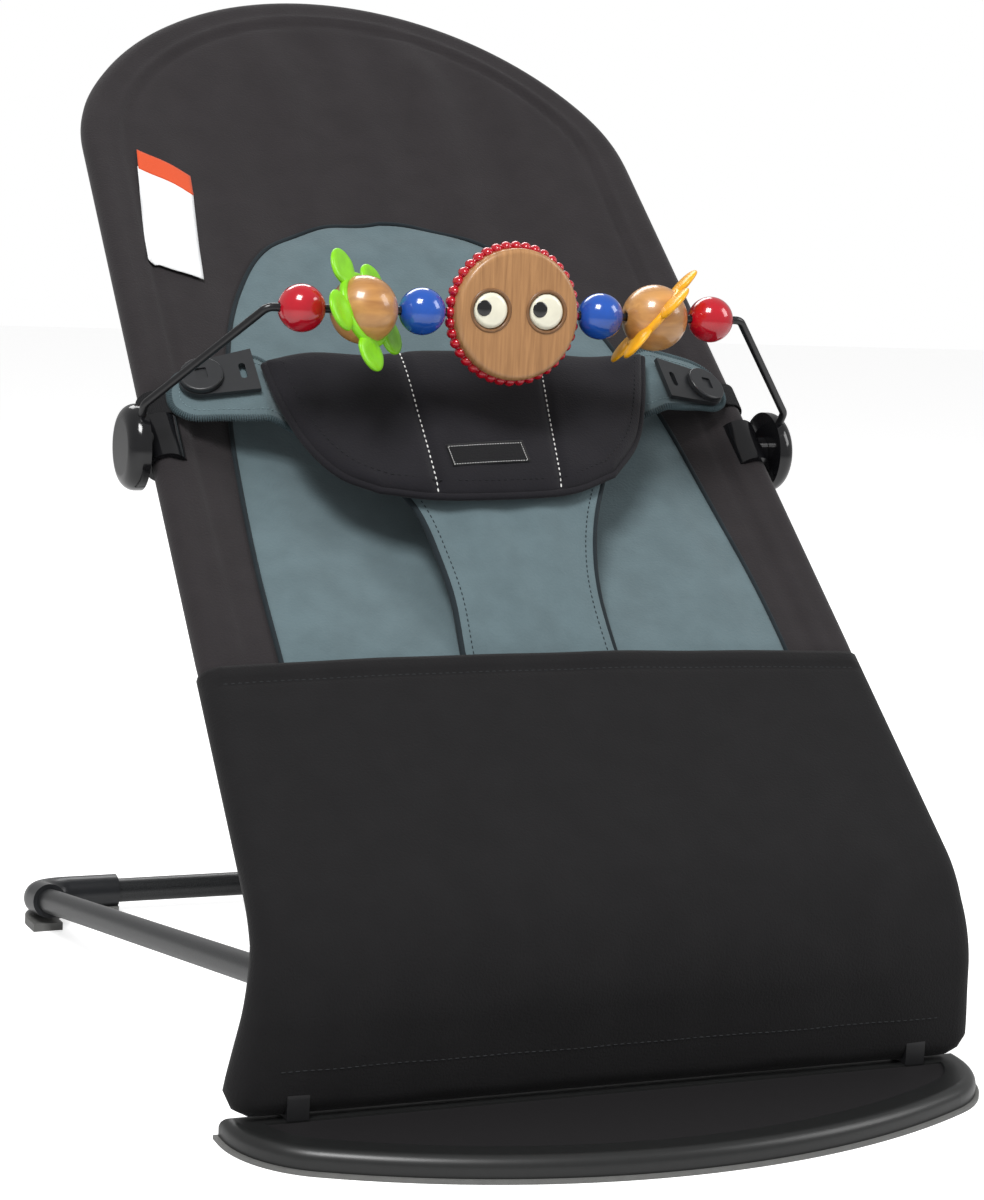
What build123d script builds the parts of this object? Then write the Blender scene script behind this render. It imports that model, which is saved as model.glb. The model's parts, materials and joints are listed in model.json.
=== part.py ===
from build123d import *
import os
from math import cos, radians, sin, tan

# Bouncer seat, millimetres. +X is the sitter's left, +Y is behind the seat, +Z is up.
# The origin is on the floor, in the middle of the footprint.

os.makedirs("parts", exist_ok=True)

# ---- driving dimensions -------------------------------------------------------------
# Seat frame: one closed loop of steel tube, made as an upper hoop and a lower frame
tube_radius = 6.0
tube_wall = 1.2
foot_width = 383.0          # between tube centres, at the floor crossbar
knee_taper = 19.0           # how much narrower the frame is at the knee corner
hoop_taper = 30.0           # and how much more where the head arch starts
seat_angle = 40.5           # seat plane above the floor, highest of the three positions
leg_lean = 11.0             # lower legs lean forward of vertical
crossbar_height = 22.5
leg_length = 73.0           # crossbar centre to the knee corner
knee_radius = 59.0
elbow_radius = 18.0
hoop_length = 699.0         # knee corner to the top of the head arch
arch_flatness = 29.0        # how much lower the head arch is than a half circle
arch_corner_radius = 102.0
joint_reach = 95.0          # knee corner to the joint between hoop and lower frame
spigot_length = 50.0

# Fabric
cover_radius = 8.0          # outside of the fabric sleeve round a tube
cover_gap = 0.3
web_thickness = 4.0
web_start = 45.0            # knee corner to the lower edge of the seat fabric
band_thickness = 2.4
band_top = 163.0            # knee corner to the top hem of the front band

# Footplate
plate_overhang = 11.0       # beyond the tube's centre, at each side
plate_reach = 96.0          # crossbar to the front edge
plate_tail = 8.0            # plate behind the crossbar
plate_corner_radius = 7.0
plate_corner_arc = 60.0
base_thickness = 2.0
rim_height = 10.0
rim_width = 16.0
rim_inset = 2.0
rim_fillet = 6.0
board_drop = 1.0
lug_width = 11.0
lug_wall = 4.5
lug_to_leg = 19.0           # outer face of a lug to the centre of the leg beside it
screw_radius = 1.75
screw_head_radius = 3.5
screw_head_height = 2.0

# Rear stand
stand_tube_radius = 7.2
stand_tube_wall = 1.4
stand_flare = 9.0           # how much wider the stand is than the floor crossbar
stand_reach = 408.0         # floor crossbar of the seat to the stand's own crossbar
stand_foot_height = 12.6    # tube centre above the floor
corner_wall = 2.8
corner_cross_length = 52.0
corner_side_length = 16.0
corner_bend_radius = 20.0
foot_pad_thickness = 2.6
foot_pad_edge = 0.8

# Recline hinge
hinge_offset = (12.0, 51.0)  # from the crossbar centre, backwards and up
hinge_pin_radius = 3.0
eye_radius = 13.0
eye_thickness = 9.2
cheek_thickness = 6.0
cheek_gap = 0.3
cheek_radius = 12.0
saddle_height = 34.0
bracket_clear = 0.35
rivet_radius = 2.0
notch_radius = 1.6
notch_angles = (0.0, 11.0, 22.0, seat_angle)
tooth_gap = 0.3
spring_thickness = 1.0
spring_room = 0.8           # behind the leaf, so that it can give
spring_length = 26.0
spring_width = 6.0
end_neck_length = 19.0
end_plug_length = 24.0

# Harness
panel_inset = 56.5          # tube centre to the panel's side, at its top
panel_low = 246.0           # distances along the seat from the knee corner
panel_high = 354.0
panel_crown = 42.0          # outer face above the seat plane, at the middle
panel_edge_drop = 15.0      # how much lower the outer face is at the sides
panel_thickness = 7.0
panel_corner_radius = 30.0
panel_turn = 17.0           # how far in the sides turn at the bend
panel_bend = 300.0
panel_draw = 54.0           # how far in the lower edge ends
strap_top_width = 112.0
strap_bottom_width = 80.0
strap_thickness = 3.0
tab_length = 50.0
tab_depth = 44.0
tab_thickness = 3.0
tab_slope = 15.0
tab_gap = 4.5               # panel's side to the inner end of a tab
tab_along = 352.0
tab_height = 24.0
adjuster_length = 42.0
adjuster_depth = 30.0
adjuster_thickness = 2.6
slot_width = 3.6
slot_length = 11.0
toggle_radius = 12.5
toggle_thickness = 3.0
toggle_post_radius = 4.0
toggle_recess = 1.2
webbing_width = 15.0
webbing_thickness = 2.0
patch_size = (46.0, 15.0, 1.0)
patch_place = (-6.0, 272.0)
label_size = (34.0, 104.0, 0.8)
label_place = (36.0, -55.0)  # in from the tube, and along from the start of the head arch

# Toy bar
clamp_place = 321.0         # knee corner to the toy clamps
clamp_length = 30.0
clamp_wall = 3.0
clamp_gap = 0.3
clamp_mouth = 7.0
boss_length = 0.6
pivot_radius = 4.0
pivot_length = 7.0
dome_radius = 23.0
dome_thickness = 11.0
dome_fillet = 8.0
wire_inset = 3.3            # wire's centre above the dome's inner face
wire_radius = 2.2
wire_reach = 97.0           # pivot to the straight run that carries the beads
wire_half_span = 136.5      # middle to the upper corner of the wire
wire_shoulder = 30.0        # pivot to the lower corner of the wire
wire_root = 11.0            # pivot to the wire's end inside the dome
wire_bend_radius = 6.0
bar_lean = 4.7              # bar leans towards the head from the seat's normal
running_gap = 0.07
bead_radius = 12.5
ball_radius = 18.0
red_place = 118.0
ball_place = 84.0
blue_place = 51.5
flower_radius = 35.0
flower_thickness = 4.0
flower_tilts = {"left": 51.5, "right": 43.0}      # flower's axis from the bar's axis
flower_spins = {"left": 149.0, "right": -110.7}
petals = 5
petal_width = 11.0
groove_depth = 1.2
disc_radius = 35.0
disc_front = 9.0
disc_back = 7.0
disc_fillet = 3.0
rim_bumps = 40
bump_radius = 2.6
rim_band = 8.0
eye_spacing = 32.0
eye_rise = 2.0
eye_puck_radius = 9.6
eye_recess_depth = 5.4
eye_bevel = 1.6
snug = 0.02
saddle_gap = 0.05

# ---- places worked out from them ----------------------------------------------------
knee_width = foot_width - knee_taper
hoop_width = knee_width - hoop_taper
plate_width = foot_width + 2 * plate_overhang
stand_width = foot_width + stand_flare
lean = radians(90 + leg_lean)
tilt = radians(seat_angle)
leg_run = (leg_length * cos(lean), leg_length * sin(lean))
hoop_run = (hoop_length * cos(tilt), hoop_length * sin(tilt))
head_reach = leg_run[0] + hoop_run[0] + cover_radius
crossbar_y = (plate_reach - head_reach) / 2

knee = (crossbar_y + leg_run[0], crossbar_height + leg_run[1])
seat_plane = Plane(origin=(0, knee[0], knee[1]), x_dir=(1, 0, 0), z_dir=(0, -sin(tilt), cos(tilt)))
side_length = hoop_length - (hoop_width / 2 - arch_flatness)
side_slope = (knee_width - hoop_width) / 2 / side_length
tube_bore = tube_radius - tube_wall
sleeve_radius = tube_radius + cover_gap
sides = {"left": -1, "right": 1}


def half_width(along):
    """Half the distance between the side tubes' centres, a given way up the seat."""
    return knee_width / 2 - side_slope * along


def seat_point(across, along, above=0.0):
    """A point given across the seat, along it from the knee corner, and above its plane."""
    return seat_plane.from_local_coords(Vector(across, along, above))


def side_direction(side):
    """Unit vector up a side tube."""
    return (seat_point(side * half_width(1.0), 1.0) - seat_point(side * half_width(0.0), 0.0)).normalized()


def save(piece, name):
    piece.part.label = name
    export_step(piece.part, "parts/" + name + ".step")


def tube(path, outer, inner=0.0):
    """A round tube or bar along a path of straight runs and tangent arcs."""
    with BuildPart() as made:
        with BuildSketch(Plane(origin=path @ 0, z_dir=path % 0)):
            Circle(outer)
            if inner:
                Circle(inner, mode=Mode.SUBTRACT)
        sweep(path=path)
    return made


def x_rod(start, end, y, z, radius):
    """A round bar along X, for pins and holes."""
    with BuildPart() as made:
        with BuildSketch(Plane(origin=(start, y, z), x_dir=(0, 1, 0), z_dir=(1, 0, 0))):
            Circle(radius)
        extrude(amount=end - start)
    return made.part


# ---- seat frame ---------------------------------------------------------------------
with BuildLine() as lower_path:
    FilletPolyline(
        seat_point(-half_width(joint_reach), joint_reach),
        (-knee_width / 2, knee[0], knee[1]),
        (-foot_width / 2, crossbar_y, crossbar_height),
        (foot_width / 2, crossbar_y, crossbar_height),
        (knee_width / 2, knee[0], knee[1]),
        seat_point(half_width(joint_reach), joint_reach),
        radius=[knee_radius, elbow_radius, elbow_radius, knee_radius],
    )
lower_wire = lower_path.wire()

def arch_points(half, spring, corner_radius, top, slope=0.0):
    """A three-centred arch on a side line at x = half, leaning inwards by slope, that is
    left at y = spring. Returns the middle of the corner arc and where it meets the wide
    arc, whose top is at y = top."""
    centre_x = half - corner_radius * cos(slope)
    centre_y = spring - corner_radius * sin(slope)
    inner_top = top - corner_radius
    wide_y = (inner_top**2 - centre_x**2 - centre_y**2) / (2 * (inner_top - centre_y))
    outward = Vector(centre_x, centre_y - wide_y).normalized()
    middle = (outward + Vector(cos(slope), sin(slope))).normalized()
    corner_middle = (centre_x + middle.X * corner_radius, centre_y + middle.Y * corner_radius)
    touch = (outward.X * (top - wide_y), wide_y + outward.Y * (top - wide_y))
    return corner_middle, touch


def arch_line(start, half_start, half_end, spring, corner_radius, top, slope=0.0):
    """The whole outline: up one side from start, over the arch and down the other side."""
    corner_middle, touch = arch_points(half_end, spring, corner_radius, top, slope)
    Line((half_start, start), (half_end, spring))
    ThreePointArc((half_end, spring), corner_middle, touch)
    ThreePointArc(touch, (0, top), (-touch[0], touch[1]))
    ThreePointArc((-touch[0], touch[1]), (-corner_middle[0], corner_middle[1]), (-half_end, spring))
    Line((-half_end, spring), (-half_start, start))


def hoop_line(start):
    """The seat hoop in the seat plane, from a given distance up each side."""
    arch_line(start, half_width(start), half_width(side_length), side_length,
              arch_corner_radius, hoop_length, side_slope)


with BuildLine(seat_plane) as hoop_path:
    hoop_line(joint_reach)
hoop_wire = hoop_path.wire()

upper_hoop = tube(hoop_wire, tube_radius, tube_bore)
save(upper_hoop, "upper_hoop")

hinge_y = crossbar_y + hinge_offset[0]
hinge_z = crossbar_height + hinge_offset[1]
# The knee bend stands furthest forward here, where the bracket's rivets go through it
bend_start = leg_length - knee_radius * tan((lean - tilt) / 2)
bend_z = crossbar_height + bend_start * sin(lean) - knee_radius * cos(lean)
bend_y = crossbar_y + bend_start * cos(lean) + knee_radius * (sin(lean) - 1)
bend_x = foot_width / 2 - (foot_width - knee_width) / 2 * (bend_z - crossbar_height) / leg_run[1]
rivet_rise = 9.0

lower_frame = tube(lower_wire, tube_radius, tube_bore)
with lower_frame:
    for side in sides.values():
        for step in (-1, 1):
            add(
                x_rod(min(0, side * (bend_x + 2)), max(0, side * (bend_x + 2)),
                      bend_y + 1.0, bend_z + step * rivet_rise, rivet_radius),
                mode=Mode.SUBTRACT,
            )
save(lower_frame, "lower_frame")

with BuildPart() as hoop_spigots:
    for side in sides.values():
        start = joint_reach - spigot_length / 2
        with BuildSketch(
            Plane(origin=seat_point(side * half_width(start), start), z_dir=side_direction(side))
        ):
            Circle(tube_bore - snug)
        extrude(amount=spigot_length)
save(hoop_spigots, "hoop_spigots")

# ---- recline hinge on the seat side -------------------------------------------------
cheek_outside = bend_x - tube_radius - bracket_clear
cheek_inside = cheek_outside - cheek_thickness
eye_x = cheek_inside - cheek_gap - eye_thickness / 2
far_cheek = eye_x - eye_thickness / 2 - cheek_gap - cheek_thickness
bracket_front = bend_y - tube_radius / 2
spring_y = hinge_y - eye_radius - tooth_gap - notch_radius - spring_thickness
bridge_back = spring_y - spring_room


def bracket(side):
    """Fork round the stand's eye, with a saddle against the inner side of the frame tube."""
    with BuildPart() as made:
        for start in (cheek_inside, far_cheek):
            with BuildSketch(Plane(origin=(side * start, hinge_y, hinge_z), x_dir=(0, 1, 0), z_dir=(side, 0, 0))):
                Circle(cheek_radius)
                with Locations(((bracket_front - hinge_y) / 2, 0)):
                    Rectangle(hinge_y - bracket_front, 2 * cheek_radius)
            extrude(amount=cheek_thickness)
        with BuildSketch(Plane.XY.offset(bend_z - saddle_height / 2)):
            middle = (far_cheek + cheek_outside) / 2
            with Locations((side * middle, (bracket_front + bridge_back) / 2)):
                Rectangle(cheek_outside - far_cheek, bridge_back - bracket_front)
            with Locations((side * (cheek_inside + bend_x) / 2, (bracket_front + bend_y + tube_radius) / 2)):
                Rectangle(bend_x - cheek_inside, bend_y + tube_radius - bracket_front)
        extrude(amount=saddle_height)
        add(tube(lower_wire, tube_radius + saddle_gap).part, mode=Mode.SUBTRACT)
        add(x_rod(-bend_x, bend_x, hinge_y, hinge_z, hinge_pin_radius), mode=Mode.SUBTRACT)
        for step in (-1, 1):
            add(
                x_rod(-bend_x, bend_x, bend_y + 1.0, bend_z + step * rivet_rise, rivet_radius),
                mode=Mode.SUBTRACT,
            )
    return made


for name, side in sides.items():
    save(bracket(side), "hinge_bracket_" + name)

    with BuildPart() as hinge_pin:
        with BuildSketch(Plane(origin=(side * (far_cheek - 1.6), hinge_y, hinge_z), z_dir=(side, 0, 0))):
            Circle(hinge_pin_radius + 2)
        extrude(amount=1.6)
        with BuildSketch(Plane(origin=(side * far_cheek, hinge_y, hinge_z), z_dir=(side, 0, 0))):
            Circle(hinge_pin_radius)
        extrude(amount=cheek_outside - far_cheek)
    save(hinge_pin, "hinge_pin_" + name)

with BuildPart() as detent_springs:
    for side in sides.values():
        with BuildSketch(Plane.YZ.offset(side * eye_x)):
            with Locations((spring_y + spring_thickness / 2, hinge_z)):
                Rectangle(spring_thickness, spring_length)
            with Locations((spring_y + spring_thickness, hinge_z)):
                Circle(notch_radius)
        extrude(amount=spring_width / 2, both=True)
save(detent_springs, "detent_springs")

with BuildPart() as bracket_rivets:
    for side in sides.values():
        for step in (-1, 1):
            with BuildSketch(
                Plane(
                    origin=(side * (cheek_inside + 1), bend_y + 1.0, bend_z + step * rivet_rise),
                    z_dir=(side, 0, 0),
                )
            ):
                Circle(rivet_radius)
            extrude(amount=bend_x - cheek_inside - 2)
save(bracket_rivets, "bracket_rivets")

# ---- rear stand ---------------------------------------------------------------------
stand_y = crossbar_y + stand_reach
stand_bore = stand_tube_radius - stand_tube_wall
socket_radius = stand_tube_radius + snug
corner_radius = stand_tube_radius + corner_wall


def stand_points(side):
    """The pivot and the rear corner of the stand, and the way from one to the other."""
    pivot = Vector(side * eye_x, hinge_y, hinge_z)
    corner = Vector(side * stand_width / 2, stand_y, stand_foot_height)
    return pivot, corner, (corner - pivot).normalized()


def stand_bar(origin, direction, length, outer, inner=0.0):
    with BuildPart() as made:
        with BuildSketch(Plane(origin=origin, z_dir=direction)):
            Circle(outer)
            if inner:
                Circle(inner, mode=Mode.SUBTRACT)
        extrude(amount=length)
    return made


cross_end = stand_width / 2 - corner_bend_radius
rivet_x = stand_width / 2 - corner_cross_length + 14
rivet_start = foot_pad_thickness + 0.4
rivet_length = stand_foot_height - stand_bore + 1.5 - rivet_start

with BuildPart() as corner_rivets:
    with BuildSketch(Plane.XY.offset(rivet_start)):
        with Locations((-rivet_x, stand_y), (rivet_x, stand_y)):
            Circle(rivet_radius)
    extrude(amount=rivet_length)
save(corner_rivets, "corner_rivets")

stand_crossbar = stand_bar((-cross_end, stand_y, stand_foot_height), (1, 0, 0), 2 * cross_end,
                           stand_tube_radius, stand_bore)
with stand_crossbar:
    add(corner_rivets.part, mode=Mode.SUBTRACT)
save(stand_crossbar, "stand_crossbar")

for name, side in sides.items():
    pivot, corner, direction = stand_points(side)
    run_length = (corner - pivot).length
    mouth = (side * (stand_width / 2 - corner_cross_length), stand_y, stand_foot_height)
    with BuildLine() as corner_path:
        FilletPolyline(mouth, corner, corner - direction * (corner_bend_radius + corner_side_length),
                       radius=corner_bend_radius)
    corner_wire = corner_path.wire()

    with BuildPart() as stand_corner:
        add(tube(corner_wire, corner_radius).part)
        add(
            stand_bar((-cross_end, stand_y, stand_foot_height), (1, 0, 0), 2 * cross_end, socket_radius).part,
            mode=Mode.SUBTRACT,
        )
        add(
            stand_bar(pivot, direction, run_length - corner_bend_radius, socket_radius).part,
            mode=Mode.SUBTRACT,
        )
        add(corner_rivets.part, mode=Mode.SUBTRACT)
    save(stand_corner, "stand_corner_" + name)

    with BuildPart() as foot_pad:
        with BuildSketch() as sole:
            with BuildLine():
                FilletPolyline((mouth[0], mouth[1]), (corner.X, corner.Y),
                               (corner.X - side * 2.0, corner.Y - corner_bend_radius - corner_side_length),
                               radius=corner_bend_radius)
            trace(line_width=2 * (corner_radius + foot_pad_edge) - 4)
        extrude(amount=foot_pad_thickness + 2)
        add(tube(corner_wire, corner_radius + snug).part, mode=Mode.SUBTRACT)
        add(
            stand_bar(pivot, direction, run_length - corner_bend_radius, socket_radius).part,
            mode=Mode.SUBTRACT,
        )
    save(foot_pad, "foot_pad_" + name)

    side_tube = stand_bar(
        pivot + direction * end_neck_length, direction,
        run_length - end_neck_length - corner_bend_radius, stand_tube_radius, stand_bore,
    )
    save(side_tube, "stand_side_" + name)

    with BuildPart() as stand_end:
        with BuildSketch(
            Plane(origin=(side * eye_x - eye_thickness / 2, hinge_y, hinge_z), x_dir=(0, 1, 0), z_dir=(1, 0, 0))
        ):
            Circle(eye_radius)
            for angle in notch_angles:
                with Locations((-eye_radius * cos(radians(angle)), eye_radius * sin(radians(angle)))):
                    Circle(notch_radius, mode=Mode.SUBTRACT)
        extrude(amount=eye_thickness)
        add(stand_bar(pivot, direction, end_neck_length, eye_thickness / 2 - 0.8).part)
        add(stand_bar(pivot + direction * end_neck_length, direction, end_plug_length, stand_bore - snug).part)
        add(
            x_rod(side * eye_x - eye_thickness, side * eye_x + eye_thickness, hinge_y, hinge_z,
                  hinge_pin_radius + running_gap),
            mode=Mode.SUBTRACT,
        )
    save(stand_end, "stand_end_" + name)

# ---- footplate ----------------------------------------------------------------------
plate_plane = Plane(origin=(0, crossbar_y, 0), x_dir=(-1, 0, 0), z_dir=(0, 0, 1))


def plate_outline(inset):
    """The footplate's outline in plate_plane, whose y runs forwards, moved in by an inset."""
    with BuildSketch(plate_plane) as outline:
        with BuildLine():
            arch_line(-plate_tail, plate_width / 2, plate_width / 2, 0.0,
                      plate_corner_arc, plate_reach)
            Line((-plate_width / 2, -plate_tail), (plate_width / 2, -plate_tail))
        make_face()
        fillet(outline.vertices().group_by(Axis.Y)[-1], plate_corner_radius)
        if inset:
            offset(amount=-inset)
    return outline.sketch


lug_outer = foot_width / 2 - lug_to_leg
lug_inner = lug_outer - lug_width
lug_x = (lug_outer + lug_inner) / 2
lug_radius = tube_radius + running_gap + lug_wall
rim_top = base_thickness + rim_height
screw_y = crossbar_y - 5.0

with BuildPart() as lug_screws:
    with BuildSketch(Plane.XY.offset(base_thickness - screw_head_height / 2)):
        with Locations((-lug_x, screw_y), (lug_x, screw_y)):
            Circle(screw_head_radius)
    extrude(amount=screw_head_height)
    with BuildSketch(Plane.XY.offset(base_thickness + screw_head_height / 2)):
        with Locations((-lug_x, screw_y), (lug_x, screw_y)):
            Circle(screw_radius)
    extrude(amount=rim_height + 3.5 - screw_head_height / 2)
save(lug_screws, "lug_screws")

with BuildPart() as screw_clearance:
    with BuildSketch():
        with Locations((-lug_x, screw_y), (lug_x, screw_y)):
            Circle(screw_head_radius + 0.2)
    extrude(amount=base_thickness + screw_head_height / 2)

with BuildPart() as footplate_base:
    add(plate_outline(0.0))
    extrude(amount=base_thickness)
    add(screw_clearance.part, mode=Mode.SUBTRACT)
save(footplate_base, "footplate_base")

with BuildPart() as footplate_rim:
    with BuildSketch(Plane.XY.offset(base_thickness)):
        add(plate_outline(rim_inset))
        add(plate_outline(rim_inset + rim_width), mode=Mode.SUBTRACT)
    extrude(amount=rim_height)
    fillet(footplate_rim.faces().sort_by(Axis.Z)[-1].outer_wire().edges(), rim_fillet)
    add(screw_clearance.part, mode=Mode.SUBTRACT)
    add(lug_screws.part, mode=Mode.SUBTRACT)
save(footplate_rim, "footplate_rim")

with BuildPart() as footplate_board:
    with BuildSketch(Plane.XY.offset(base_thickness)):
        add(plate_outline(rim_inset + rim_width + snug))
    extrude(amount=rim_height - board_drop)
save(footplate_board, "footplate_board")

for name, side in sides.items():
    with BuildPart() as hinge_lug:
        with BuildSketch(
            Plane(origin=(side * lug_x, crossbar_y, crossbar_height), x_dir=(0, 1, 0), z_dir=(1, 0, 0))
        ):
            Circle(lug_radius)
            with Locations((-lug_radius / 2, -lug_radius / 2)):
                Rectangle(lug_radius, lug_radius)
            Circle(tube_radius + running_gap, mode=Mode.SUBTRACT)
            with Locations((0, rim_top - crossbar_height - lug_radius)):
                Rectangle(4 * lug_radius, 2 * lug_radius, mode=Mode.SUBTRACT)
        extrude(amount=lug_width / 2, both=True)
        add(lug_screws.part, mode=Mode.SUBTRACT)
    save(hinge_lug, "hinge_lug_" + name)

# ---- fabric -------------------------------------------------------------------------
with BuildLine(seat_plane) as web_path:
    hoop_line(web_start)
with BuildLine(seat_plane) as sleeve_path:
    hoop_line(band_top + 2)

with BuildPart() as seat_cover:
    with BuildSketch(seat_plane):
        with BuildLine():
            hoop_line(web_start)
            Line((-half_width(web_start), web_start), (half_width(web_start), web_start))
        make_face()
    extrude(amount=web_thickness / 2, both=True)
    add(tube(sleeve_path.wire(), cover_radius).part)
    add(tube(web_path.wire(), sleeve_radius).part, mode=Mode.SUBTRACT)
save(seat_cover, "seat_cover")

# The front band is a sheet over the front of the lower frame, with a hem round the crossbar
band_offset = sleeve_radius + band_thickness / 2
leg_normal = Vector(-sin(lean), cos(lean))
seat_normal = Vector(-sin(tilt), cos(tilt))
band_foot = Vector(crossbar_y, crossbar_height) + leg_normal * band_offset
band_corner = Vector(*knee) + (leg_normal + seat_normal) * (band_offset / (1 + leg_normal.dot(seat_normal)))
band_head = Vector(knee[0] + band_top * cos(tilt), knee[1] + band_top * sin(tilt)) + seat_normal * band_offset
foot_along = -leg_length * cos(lean - tilt)

with BuildPart() as front_band:
    with BuildSketch(Plane.YZ):
        with BuildLine():
            FilletPolyline(band_foot, band_corner, band_head, radius=knee_radius + band_offset)
        trace(line_width=band_thickness)
    extrude(amount=foot_width / 2 + cover_radius, both=True)
    with BuildSketch(seat_plane):
        Polygon(
            (half_width(band_top) + cover_radius, band_top),
            (knee_width / 2 + cover_radius, 0),
            (foot_width / 2 + cover_radius, foot_along),
            (foot_width / 2 + cover_radius, 2 * foot_along),
            (-foot_width / 2 - cover_radius, 2 * foot_along),
            (-foot_width / 2 - cover_radius, foot_along),
            (-knee_width / 2 - cover_radius, 0),
            (-half_width(band_top) - cover_radius, band_top),
            align=None,
        )
    extrude(amount=leg_length + knee_radius, both=True, mode=Mode.INTERSECT)
    hem_end = lug_inner - 1.5
    add(x_rod(-hem_end, hem_end, crossbar_y, crossbar_height, cover_radius))
    add(x_rod(-foot_width, foot_width, crossbar_y, crossbar_height, sleeve_radius), mode=Mode.SUBTRACT)
    for side in sides.values():
        near = min(side * hem_end, side * (lug_outer + 1.5))
        far = max(side * hem_end, side * (lug_outer + 1.5))
        add(x_rod(near, far, crossbar_y, crossbar_height, lug_radius + 0.8), mode=Mode.SUBTRACT)
save(front_band, "front_band")

# ---- harness ------------------------------------------------------------------------
cross_plane = Plane(origin=seat_point(0, 0), x_dir=(1, 0, 0), z_dir=-seat_plane.y_dir)
edge_height = panel_crown - panel_edge_drop
panel_half_width = half_width(panel_high) - panel_inset
panel_waist = panel_half_width - panel_turn
panel_foot = panel_half_width - panel_draw

with BuildPart() as harness_panel:
    with BuildSketch(cross_plane.offset(-panel_high - 10)):
        with BuildLine():
            ThreePointArc((-panel_half_width, edge_height), (0, panel_crown), (panel_half_width, edge_height))
            Line((panel_half_width, edge_height), (panel_half_width, edge_height - panel_thickness))
            ThreePointArc(
                (panel_half_width, edge_height - panel_thickness),
                (0, panel_crown - panel_thickness),
                (-panel_half_width, edge_height - panel_thickness),
            )
            Line((-panel_half_width, edge_height - panel_thickness), (-panel_half_width, edge_height))
        make_face()
    extrude(amount=panel_high - panel_low + 20)
    with BuildSketch(seat_plane):
        with BuildLine():
            FilletPolyline(
                (-panel_half_width, panel_high), (-panel_waist, panel_bend), (-panel_foot, panel_low),
                (panel_foot, panel_low), (panel_waist, panel_bend), (panel_half_width, panel_high),
                radius=panel_corner_radius,
            )
            Line((panel_half_width, panel_high), (-panel_half_width, panel_high))
        make_face()
    extrude(amount=panel_crown + 5, mode=Mode.INTERSECT)
save(harness_panel, "harness_panel")

strap_head = (panel_low + 12, edge_height + 1.0)
strap_foot = (band_top + 4, web_thickness / 2 + strap_thickness)
with BuildPart() as crotch_strap:
    with BuildSketch(Plane(origin=seat_point(0, 0), x_dir=seat_plane.y_dir, z_dir=(1, 0, 0))):
        with BuildLine():
            middle = ((strap_head[0] + strap_foot[0]) / 2, (strap_head[1] + strap_foot[1]) / 2 + 3.0)
            ThreePointArc(strap_foot, middle, strap_head)
        trace(line_width=strap_thickness)
    extrude(amount=strap_top_width / 2, both=True)
    with BuildSketch(seat_plane):
        Polygon(
            (-strap_bottom_width / 2, band_top),
            (strap_bottom_width / 2, band_top),
            (strap_top_width / 2, panel_low + 15),
            (-strap_top_width / 2, panel_low + 15),
            align=None,
        )
    extrude(amount=panel_crown + 5, mode=Mode.INTERSECT)
save(crotch_strap, "crotch_strap")

with BuildPart() as blank_patch:
    with BuildSketch(seat_plane.offset(panel_crown + snug)):
        with Locations((patch_place[0], patch_place[1])):
            RectangleRounded(patch_size[0], patch_size[1], 2.0)
    extrude(amount=patch_size[2])
save(blank_patch, "blank_patch")

with BuildPart() as blank_label:
    with BuildSketch(seat_plane.offset(web_thickness / 2 + snug)):
        with Locations((label_place[0] - half_width(side_length), side_length + label_place[1])):
            RectangleRounded(label_size[0], label_size[1], 2.0)
    extrude(amount=label_size[2])
save(blank_label, "blank_label")

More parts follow.
